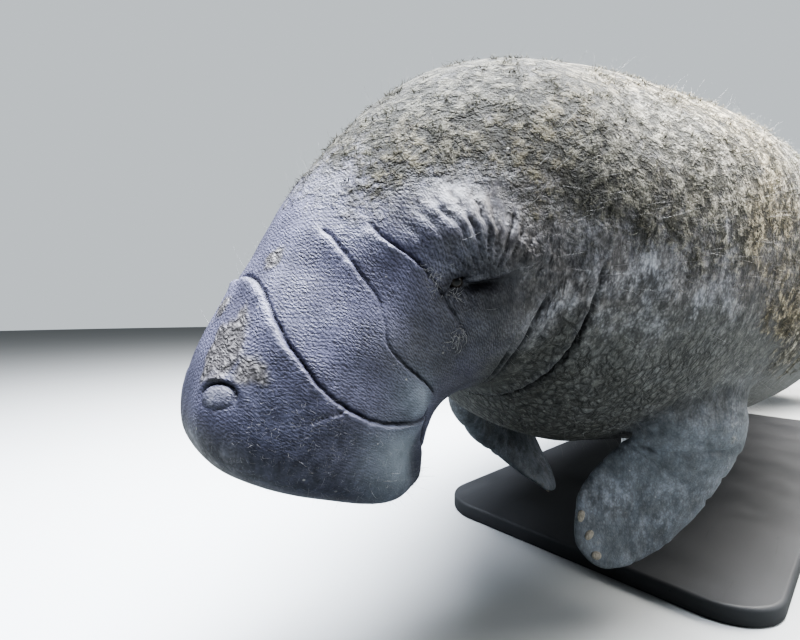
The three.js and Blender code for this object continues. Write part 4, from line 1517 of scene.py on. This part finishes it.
    def soften(self, skin: bpy.types.Object, seam: Array) -> Array:
        """Rounds the hollow where a flipper grows out of the chest.

        Args:
            skin: The fused skin.
            seam: One truth value for each vertex, true on the line where they meet.

        Returns:
            How far each vertex near the seam is from it, in metres.
        """
        p = get_points(skin)
        line = p[seam]
        box = np.flatnonzero(np.all((p > line.min(0) - 0.08) & (p < line.max(0) + 0.08), axis=1))
        gap = np.full(len(p), np.inf)
        for start in range(0, len(box), 4000):
            part = box[start : start + 4000]
            gap[part] = np.min(np.linalg.norm(p[part, None] - line[None, ::2], axis=2), axis=1)
        set_points(skin, self.relax(skin, p, 1 - smoothstep(gap, 0.005, 0.024), 22))
        return gap

    def mark(self, skin: bpy.types.Object, gap: Array) -> None:
        """Writes the markings and the bake's map on the finished skin.

        Args:
            skin: The fused skin.
            gap: How far each vertex is from the flippers' seams, in metres.
        """
        flat, _ = self.corner_places(skin)
        on_body = flat[:, 1] < 4
        s = np.where(on_body, flat[:, 1] / MM, 700.0)
        a = np.where(on_body, flat[:, 0] / self.girth(s), 0)
        shaped = self.relief.shape(s, a)
        # On the flippers, under lays a little painted shade all over.
        on_limb = {"algae": 0.04, "under": 0.22, "cracks": 0.06, "fine": 0.35, "pale": 0.72}
        p = get_points(skin) / MM
        columns = []
        for name in MARKINGS:
            limb = np.clip(on_limb[name] + 0.2 * lumps(p, 60, 61), 0, 1) if name in on_limb else 0
            columns.append(np.where(on_body, shaped[name], limb))
        values = self.relax(skin, np.stack(columns, axis=-1), 1 - smoothstep(gap, 0.03, 0.07), 90)
        # Painted shade along the seams where the flippers meet the chest.
        values[:, MARKINGS.index("hollow")] += 0.55 * bell(gap / 0.007)
        for number, name in enumerate(MARKINGS):
            write_marking(skin, name, values[:, number])
        mesh = skin.data
        uv = np.empty(len(mesh.loops) * 2, np.float32)
        mesh.uv_layers["HideFlat"].data.foreach_get("uv", uv)
        baked = self.unwrap(uv.reshape(-1, 2).astype(float))
        layer = mesh.uv_layers.new(name="OFBake")
        layer.data.foreach_set("uv", np.ascontiguousarray(baked, np.float32).ravel())

    def unwrap(self, flat: Array) -> Array:
        """Brings the flat pattern's places into the bake's square, with more room for the head."""
        on_body = flat[:, 1] < 4
        s = np.where(on_body, flat[:, 1] / MM, 0)
        a = flat[:, 0] / np.where(on_body, self.girth(s), 0.075)
        x = np.clip(0.5 + 0.485 * a / math.pi, 0.01, 0.99)
        y = np.interp(s, [0, 420, 900, 3000], [0.01, 0.44, 0.62, 0.87])
        right = flat[:, 1] > 6.5
        t = (flat[:, 1] - np.where(right, 7.0, 5.0)) / 0.315
        limb_x = np.where(right, 0.75, 0.25) + 0.235 * a / math.pi
        return np.stack([np.where(on_body, x, limb_x), np.where(on_body, y, 0.885 + 0.10 * t)], axis=-1)

    def build(self, finishes: Finishes) -> bpy.types.Object:
        """Builds and dresses the skin."""
        skin = self.sheet()
        for side in Side:
            self.join(skin, self.limb(side))
        _, seam = self.corner_places(skin)
        left = get_points(skin)[:, 1] < self.form.shift[1] * MM
        gaps = [self.soften(skin, seam & (left if side is Side.LEFT else ~left)) for side in Side]
        self.mark(skin, np.minimum(*gaps))
        shade(skin)
        finish_piece(skin, finishes.hide(), Slot.HIDE, *self.flesh)
        return skin


@dataclass
class Eyes:
    """The two eyeballs, each with a raised cornea."""

    form: BodyForm
    bulge: float = 1.4

    def build(self, finishes: Finishes) -> None:
        """Builds and dresses both eyes.

        Args:
            finishes: What makes the materials.
        """
        for side in Side:
            low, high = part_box("eye_" + side.word)
            centre = np.array((low + high) / 2)
            s, a = np.array([self.form.EYE_AT]), np.array([side.value * self.form.EYE_AROUND])
            gaze = self.form.outward(s, a)[0]
            deselect()
            bpy.ops.mesh.primitive_uv_sphere_add(
                segments=48, ring_count=32, radius=self.form.EYE_RADIUS * MM, location=tuple(centre)
            )
            eye = new_piece("eyeball_" + side.word)
            turn = Vector((0, 0, 1)).rotation_difference(Vector(gaze))
            eye.rotation_mode = "QUATERNION"
            eye.rotation_quaternion = turn
            bpy.ops.object.transform_apply(location=True, rotation=True, scale=True)
            p = get_points(eye)
            ray = unit(p - centre)
            lift = smoothstep(dot(ray, np.broadcast_to(gaze, ray.shape)), 0.72, 0.96)
            set_points(eye, p + ray * (lift * self.bulge * MM)[:, None])
            shade(eye)
            wet = finishes.eye("wet_eye_" + side.word, centre, gaze)
            finish_piece(eye, wet, Slot.EYE, "eye_" + side.word)


@dataclass
class Nails:
    """Three small flat nails on the front edge of each flipper."""

    form: BodyForm
    at: float = 6.35
    around: tuple[float, float, float] = (-50, -8, 34)
    half: tuple[float, float, float] = (8.0, 6.0, 3.0)

    def build(self, finishes: Finishes) -> None:
        """Builds and dresses the six nails.

        Args:
            finishes: What makes the materials.
        """
        horn = finishes.nail()
        for side in Side:
            flipper = FlipperForm(self.form, side)
            for number, degrees in enumerate(self.around, 1):
                self.nail(flipper, side, number, math.radians(degrees), horn)

    def nail(self, flipper: FlipperForm, side: Side, number: int, a: float, horn: bpy.types.Material) -> None:
        """Builds one nail.

        Args:
            flipper: The flipper that it sits on.
            side: The animal's side.
            number: Which nail.
            a: Its angle round the flipper.
            horn: Its finish.
        """
        t, turn = np.array([self.at]), np.array([a])
        p = flipper.point(t, turn)[0]
        out = unit(p - flipper.point(t, math.pi - turn)[0])
        ahead = flipper.point(t + 0.2, turn)[0] - p
        ahead = unit(ahead - out * (ahead @ out))
        deselect()
        bpy.ops.mesh.primitive_cube_add(size=2)
        piece = new_piece(f"horn_{side.word}_{number}")
        bpy.ops.object.mode_set(mode="EDIT")
        bpy.ops.mesh.subdivide(number_cuts=3)
        bpy.ops.object.mode_set(mode="OBJECT")
        activate(piece)
        bpy.ops.object.modifier_add(type="SUBSURF")
        piece.modifiers[-1].levels = piece.modifiers[-1].render_levels = 2
        apply_modifiers(piece)
        q = get_points(piece)
        q = q * (np.abs(q).max(1) / np.power(np.power(np.abs(q), 2.6).sum(1), 1 / 2.6))[:, None]
        x, y, z = (q[:, i] / np.abs(q[:, i]).max() for i in range(3))
        taper = 1 - 0.18 * smoothstep(x, -0.2, 1.0)
        z = z * 0.55 - 0.35 * y * y + 0.25 - 0.12 * smoothstep(x, 0.2, 1.0)
        groove = 1 - 0.03 * np.cos(y * 14)
        long, wide, tall = self.half
        shaped = np.outer(x * long, ahead) + np.outer(y * wide * taper, np.cross(out, ahead))
        shaped = shaped + np.outer(z * tall * groove, out)
        set_points(piece, (p + shaped + self.form.shift) * MM)
        shade(piece)
        finish_piece(piece, horn, Slot.NAIL, f"nail_{side.word}_{number}")


@dataclass
class Stand:
    """The board and the two rods that hold the animal."""

    corner: float = 0.09
    bevel: float = 0.006
    rod: float = 0.026
    foot: float = 0.062
    foot_height: float = 0.014

    def board(self, finishes: Finishes) -> None:
        """Builds the board with round corners and a softened edge.

        Args:
            finishes: What makes the materials.
        """
        low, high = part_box("stand_base")
        deselect()
        bpy.ops.mesh.primitive_cube_add(size=1, location=(low + high) / 2, scale=high - low)
        board = new_piece("board")
        bpy.ops.object.transform_apply(location=True, rotation=True, scale=True)
        mesh = board.data
        bpy.ops.object.mode_set(mode="EDIT")
        bpy.ops.mesh.select_mode(type="EDGE")
        bpy.ops.mesh.select_all(action="DESELECT")
        bpy.ops.object.mode_set(mode="OBJECT")
        for edge in mesh.edges:
            a, b = (mesh.vertices[i].co for i in edge.vertices)
            edge.select = abs(a.z - b.z) > 0.5 * (high.z - low.z)
        bpy.ops.object.mode_set(mode="EDIT")
        bpy.ops.mesh.bevel(offset=self.corner, segments=14, affect="EDGES")
        bpy.ops.object.mode_set(mode="OBJECT")
        bpy.ops.object.modifier_add(type="BEVEL")
        edge = board.modifiers[-1]
        edge.width, edge.segments = self.bevel, 4
        edge.limit_method, edge.angle_limit = "ANGLE", math.radians(60)
        apply_modifiers(board)
        shade(board, 40)
        finish_piece(board, finishes.board(), Slot.BOARD, "stand_base")

    def rods(self, finishes: Finishes) -> None:
        """Builds the rods, each turned from a flat foot up to the belly.

        Args:
            finishes: What makes the materials.
        """
        steel = finishes.steel()
        for word in ("front", "rear"):
            low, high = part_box("stand_rod_" + word)
            x, y = (low.x + high.x) / 2, (low.y + high.y) / 2
            deselect()
            bpy.ops.mesh.primitive_circle_add(
                vertices=64, radius=self.foot, location=(x, y, low.z), fill_type="NGON"
            )
            rod = new_piece("rod_" + word)
            bpy.ops.object.transform_apply(location=True, rotation=True, scale=True)
            bpy.ops.object.mode_set(mode="EDIT")
            bpy.ops.mesh.select_all(action="SELECT")
            neck = self.rod / self.foot
            steps = (
                (self.foot_height * 0.8, 1.0), (0.0018, 0.985), (0.001, 0.955), (0.0, neck * 1.22 / 0.94),
                (0.003, 0.90), (0.006, 0.91), (high.z - low.z - self.foot_height - 0.004, 1.0),
            )
            for rise, scale in steps:
                bpy.ops.mesh.extrude_region_move(TRANSFORM_OT_translate={"value": (0, 0, rise)})
                bpy.ops.transform.resize(value=(scale, scale, 1), center_override=(x, y, low.z))
            bpy.ops.mesh.select_all(action="SELECT")
            bpy.ops.mesh.normals_make_consistent(inside=False)
            bpy.ops.object.mode_set(mode="OBJECT")
            shade(rod, 35)
            finish_piece(rod, steel, Slot.STEEL, "stand_rod_" + word)

    def build(self, finishes: Finishes) -> None:
        """Builds the whole stand."""
        self.board(finishes)
        self.rods(finishes)


@dataclass(frozen=True)
class Strand:
    """One kind of strand on the hide, in millimetres and radians.

    It leans from the hide by one angle and strays from the way to the tail by another, called
    spread. A bunch of strands grows round one root.
    """

    name: str
    count: int
    length: tuple[float, float]
    radius: float
    lean: float
    curl: float
    rings: int
    seed: int
    turn_seed: int
    spread: float
    bunch: int = 1


ALGAE = tuple(
    Strand(
        f"algae_{number + 1}", count=12600, length=(3, 9), radius=0.62, lean=0.75, curl=0.5,
        rings=2, seed=100 + number, turn_seed=7 + number, spread=1.0, bunch=9,
    )
    for number in range(3)
)
BODY_HAIR = Strand(
    "body_hairs", count=4200, length=(12, 32), radius=0.11, lean=0.5, curl=0.10,
    rings=4, seed=200, turn_seed=8, spread=0.5,
)
LIP_BRISTLE = Strand(
    "lip_bristles", count=8000, length=(4, 10), radius=0.075, lean=0.8, curl=0.05,
    rings=3, seed=300, turn_seed=9, spread=1.6,
)
LIP_WHISKER = Strand(
    "lip_whiskers", count=420, length=(11, 24), radius=0.13, lean=0.45, curl=0.06,
    rings=4, seed=350, turn_seed=11, spread=0.8,
)
PALE_THREAD = Strand(
    "pale_threads", count=190, length=(4, 13), radius=0.42, lean=1.15, curl=0.4,
    rings=5, seed=400, turn_seed=10, spread=3.0,
)


@dataclass
class Coat:
    """Algae and hairs on the hide, as solid tapered strands."""

    form: BodyForm
    relief: HideRelief
    skin: Skin
    patch: float = 0.003
    spots: tuple[tuple[float, float, float], ...] = (
        (229, 79, 4), (224, 84, 4), (214, 101, 5), (208, 107, 6), (233, 90, 3),
    )

    def roots(self, strand: Strand, density: Callable[[Array, Array, dict], Array]) -> dict[str, Array]:
        """Picks where the strands grow.

        Args:
            strand: The kind of strand.
            density: How likely a strand is at places on the body, from 0 to 1.

        Returns:
            What HideRelief.shape gives at the roots, with s and a.
        """
        draw = np.random.default_rng(strand.seed)
        tries = strand.count * 14
        s = draw.uniform(4, 2940, tries)
        a = draw.uniform(-math.pi, math.pi, tries)
        size = self.skin.girth(s) * self.form.closing(s) / 0.36
        marks = self.relief.markings(s, np.arccos(np.cos(a)), self.form.plain(s, a))
        keep = np.flatnonzero(draw.uniform(0, 1, tries) < density(s, a, marks) * size)
        keep = np.repeat(keep[: strand.count // strand.bunch], strand.bunch)
        drift = draw.normal(0, 2.2, (len(keep), 2)) * (strand.bunch > 1)
        s, a = s[keep] + drift[:, 0], a[keep] + drift[:, 1] * MM / self.skin.girth(s[keep])
        return {**self.relief.shape(s, a), "s": s, "a": a, "drift": drift}

    def template(self, strand: Strand) -> tuple[Array, list[tuple[int, ...]]]:
        """Models one straight strand of length 1 and radius 1, to be copied.

        Args:
            strand: The kind of strand.

        Returns:
            Its vertices and faces.
        """
        deselect()
        bpy.ops.mesh.primitive_cylinder_add(
            vertices=3, radius=1, depth=1, location=(0, 0, 0.5), end_fill_type="NGON"
        )
        piece = new_piece("strand")
        bpy.ops.object.transform_apply(location=True, rotation=True, scale=True)
        bpy.ops.object.mode_set(mode="EDIT")
        for number in range(1, strand.rings):
            bpy.ops.mesh.select_all(action="SELECT")
            height = number / strand.rings
            bpy.ops.mesh.bisect(plane_co=(0, 0, height), plane_no=(0, 0, 1))
        bpy.ops.object.mode_set(mode="OBJECT")
        p = get_points(piece)
        taper = 1 - 0.82 * p[:, 2] ** 1.4
        p[:, :2] *= taper[:, None]
        faces = [tuple(f.vertices) for f in piece.data.polygons]
        bpy.data.objects.remove(piece)
        return p, faces

    def grow(self, strand: Strand, root: dict[str, Array], material: bpy.types.Material) -> None:
        """Copies a strand to every root as one mesh.

        Args:
            strand: The kind of strand.
            root: Where they grow.
            material: Their finish.
        """
        template, faces = self.template(strand)
        draw = np.random.default_rng(strand.seed + 1)
        n, m = len(root["p"]), len(template)
        out = root["out"]
        heading = self.swirl(strand, root)
        heading = unit(heading - out * dot(heading, out)[:, None])
        swing = draw.normal(0, strand.curl, (n, 3))
        side = np.cross(out, heading)
        length = draw.uniform(*strand.length, n) * MM
        lean = np.clip(draw.normal(strand.lean, 0.18, n), 0.02, 1.5)
        z = template[None, :, 2]
        bend = lean[:, None] * (0.75 + 0.5 * z)
        up, ahead = np.cos(bend) * z, np.sin(bend) * z
        wave = swing[:, None, 0] * np.sin(z * 4 + swing[:, None, 1] * 3) * z
        radius = strand.radius * MM * draw.uniform(0.7, 1.25, n)[:, None]
        p = root["p"][:, None] - out[:, None] * 0.0012
        p = p + out[:, None] * (up * length[:, None])[..., None]
        p = p + heading[:, None] * (ahead * length[:, None] + template[None, :, 0] * radius)[..., None]
        p = p + side[:, None] * (wave * length[:, None] + template[None, :, 1] * radius)[..., None]
        mesh = bpy.data.meshes.new(strand.name)
        every = [tuple(i + k * m for i in f) for k in range(n) for f in faces]
        mesh.from_pydata(p.reshape(-1, 3), [], every)
        piece = bpy.data.objects.new(strand.name, mesh)
        bpy.context.scene.collection.objects.link(piece)
        flat = np.stack([root["a"] * self.skin.girth(root["s"]), root["s"] * MM], axis=-1)
        spot = self.skin.unwrap(flat)[:, None]
        offset = np.stack([template[:, 0] * 0.35 + 0.5, template[:, 2] * 0.9 + 0.05], axis=-1) - 0.5
        write_uv(piece, "OFBake", (spot + offset[None] * self.patch).reshape(-1, 2))
        for name in MARKINGS:
            write_marking(piece, name, np.repeat(root[name], m))
        shade(piece)
        finish_piece(piece, material, Slot.HIDE)

    def build(self, finishes: Finishes) -> None:
        """Grows the algae, the body hairs and the bristles of the lips.

        Args:
            finishes: What makes the materials.
        """
        tan, pale = finishes.algae(), finishes.hairs()
        kinds = [(strand, self.mats, tan) for strand in ALGAE]
        kinds.append((BODY_HAIR, self.flanks, pale))
        kinds.append((LIP_BRISTLE, self.rim((50, 110), (0.5, 1.5)), pale))
        kinds.append((LIP_WHISKER, self.rim((30, 70), (1.2, 1.9)), pale))
        for strand, density, material in kinds:
            self.grow(strand, self.roots(strand, density), material)
        self.grow(PALE_THREAD, self.snags(PALE_THREAD), pale)

    def flanks(self, s: Array, a: Array, marks: dict[str, Array]) -> Array:
        """Returns how thickly body hairs grow: all over but the muzzle and the tail's paddle."""
        return smoothstep(s, 60, 300) * (1 - smoothstep(s, 2300, 2700))

    @staticmethod
    def rim(
        back: tuple[float, float], down: tuple[float, float]
    ) -> Callable[[Array, Array, dict], Array]:
        """Makes a density of strands on the lips.

        Args:
            back: Between which places along the back bone it fades out.
            down: Between which angles from the top it sets in.

        Returns:
            The density, which is high because the lips are a small part of the hide.
        """
        return lambda s, a, m: (1 - smoothstep(s, *back)) * smoothstep(np.abs(a), *down) * 7

    def mats(self, s: Array, a: Array, marks: dict[str, Array]) -> Array:
        """Returns how thickly algae grows, in clumps and most on the upper side."""
        place = self.form.plain(s, a)
        clump = smoothstep(0.6 * lumps(place, 14, 71) + 0.4 * lumps(place, 34, 72), -0.25, 0.45)
        near = np.where(s < 1000, 1.0, 0.45)
        return near * smoothstep(marks["algae"], 0.05, 0.7) * (0.12 + 0.88 * clump)

    def snags(self, strand: Strand) -> dict[str, Array]:
        """Picks where drifting threads hang on the hide, by each eye.

        Args:
            strand: The kind of strand.

        Returns:
            What HideRelief.shape gives at the roots, with s and a.
        """
        draw = np.random.default_rng(strand.seed)
        spot = np.array(self.spots, float)[draw.integers(0, len(self.spots), strand.count)]
        drift = draw.normal(0, 1, (strand.count, 2)) * spot[:, 2:]
        side = draw.choice([-1, 1], strand.count)
        s = spot[:, 0] + drift[:, 0]
        a = side * (np.radians(spot[:, 1]) + drift[:, 1] * MM / self.skin.girth(s))
        return {**self.relief.shape(s, a), "s": s, "a": a, "drift": 0 * drift}

    def swirl(self, strand: Strand, root: dict[str, Array]) -> Array:
        """Returns the direction along the hide in which each strand lies, mostly towards the tail."""
        along, round_it = self.form.tangents(root["s"], root["a"])
        turn = np.random.default_rng(strand.turn_seed).normal(0, strand.spread, len(root["s"]))[:, None]
        outwards = along * root["drift"][:, :1] + round_it * root["drift"][:, 1:]
        return along * np.cos(turn) + round_it * np.sin(turn) + outwards


@dataclass(frozen=True)
class Panel:
    """A soft square light, in metres and watts."""

    name: str
    place: tuple[float, float, float]
    target: tuple[float, float, float]
    size: float
    watts: float
    tint: tuple[float, float, float]


PANELS = (
    Panel("top", (-1.02, 0.06, 2.35), (-0.95, 0.0, 0.5), 1.5, 430, (0.90, 0.94, 1.0)),
    Panel("front", (-2.7, 0.7, 2.6), (-1.3, 0.0, 0.5), 0.9, 66, (0.84, 0.89, 1.0)),
    Panel("side", (0.4, -3.3, 1.6), (-0.2, 0.0, 0.45), 1.8, 58, (0.96, 0.98, 1.0)),
    Panel("rear", (0.8, -0.8, 2.4), (0.2, 0.0, 0.5), 1.6, 270, (1.0, 0.97, 0.92)),
)


@dataclass
class Studio:
    """The floor, the lights and the camera."""

    form: BodyForm
    eye: tuple[float, float, float] = (-0.24236, -0.43917, 0.18237)
    azimuth: float = 43.0
    elevation: float = -1.0
    lens: float = 20.25

    def build(self, finishes: Finishes) -> None:
        """Sets the scene for the photograph's view.

        Args:
            finishes: What makes the materials.
        """
        deselect()
        bpy.ops.mesh.primitive_circle_add(vertices=96, radius=14, fill_type="NGON", location=(0, 0, 0))
        floor = new_piece("floor")
        bpy.ops.object.transform_apply(location=True, rotation=True, scale=True)
        floor.data.materials.append(finishes.floor())
        self.camera()
        self.lights()

    def camera(self) -> None:
        """Places the camera where the photograph was taken from."""
        az, el = math.radians(self.azimuth), math.radians(self.elevation)
        ahead = Vector((math.sin(az) * math.cos(el), math.cos(az) * math.cos(el), math.sin(el)))
        bpy.ops.object.camera_add(location=Vector(self.eye) + Vector(self.form.shift * MM))
        camera = bpy.context.object
        camera.rotation_mode = "QUATERNION"
        camera.rotation_quaternion = ahead.to_track_quat("-Z", "Y")
        camera.data.lens, camera.data.sensor_width, camera.data.clip_start = self.lens, 36, 0.01
        bpy.context.scene.camera = camera

    def lights(self) -> None:
        """Hangs soft panels over the animal and gives the room a pale tone."""
        for panel in PANELS:
            bpy.ops.object.light_add(type="AREA", location=panel.place)
            light = bpy.context.object
            light.name = "panel_" + panel.name
            light.data.size, light.data.energy, light.data.color = panel.size, panel.watts, panel.tint
            light.rotation_mode = "QUATERNION"
            towards = Vector(panel.target) - Vector(panel.place)
            light.rotation_quaternion = towards.to_track_quat("-Z", "Y")
        world = bpy.data.worlds.new("studio")
        bpy.context.scene.world = world
        world.use_nodes = True
        g = Graph(world.node_tree)
        background = world.node_tree.nodes["Background"]
        background.inputs["Color"].default_value = (0.80, 0.86, 0.90, 1)
        seen = g.add("LightPath").outputs["Is Camera Ray"]
        g.put(g.ease(seen, 0, 1, (0.17, 0.75)), background.inputs["Strength"])
        bpy.context.scene.view_settings.look = "AgX - Medium High Contrast"


def main() -> None:
    """Builds the model piece by piece."""
    logging.basicConfig(level=logging.INFO, format="%(message)s")
    form = BodyForm()
    log.info("the snout stands at %s", np.round(form.shift, 2))
    relief = HideRelief(form)
    finishes = Finishes()
    Studio(form).build(finishes)
    skin = Skin(form, relief)
    skin.build(finishes)
    Eyes(form).build(finishes)
    Nails(form).build(finishes)
    Stand().build(finishes)
    Coat(form, relief, skin).build(finishes)
    deselect()


if __name__ == "__main__":
    main()
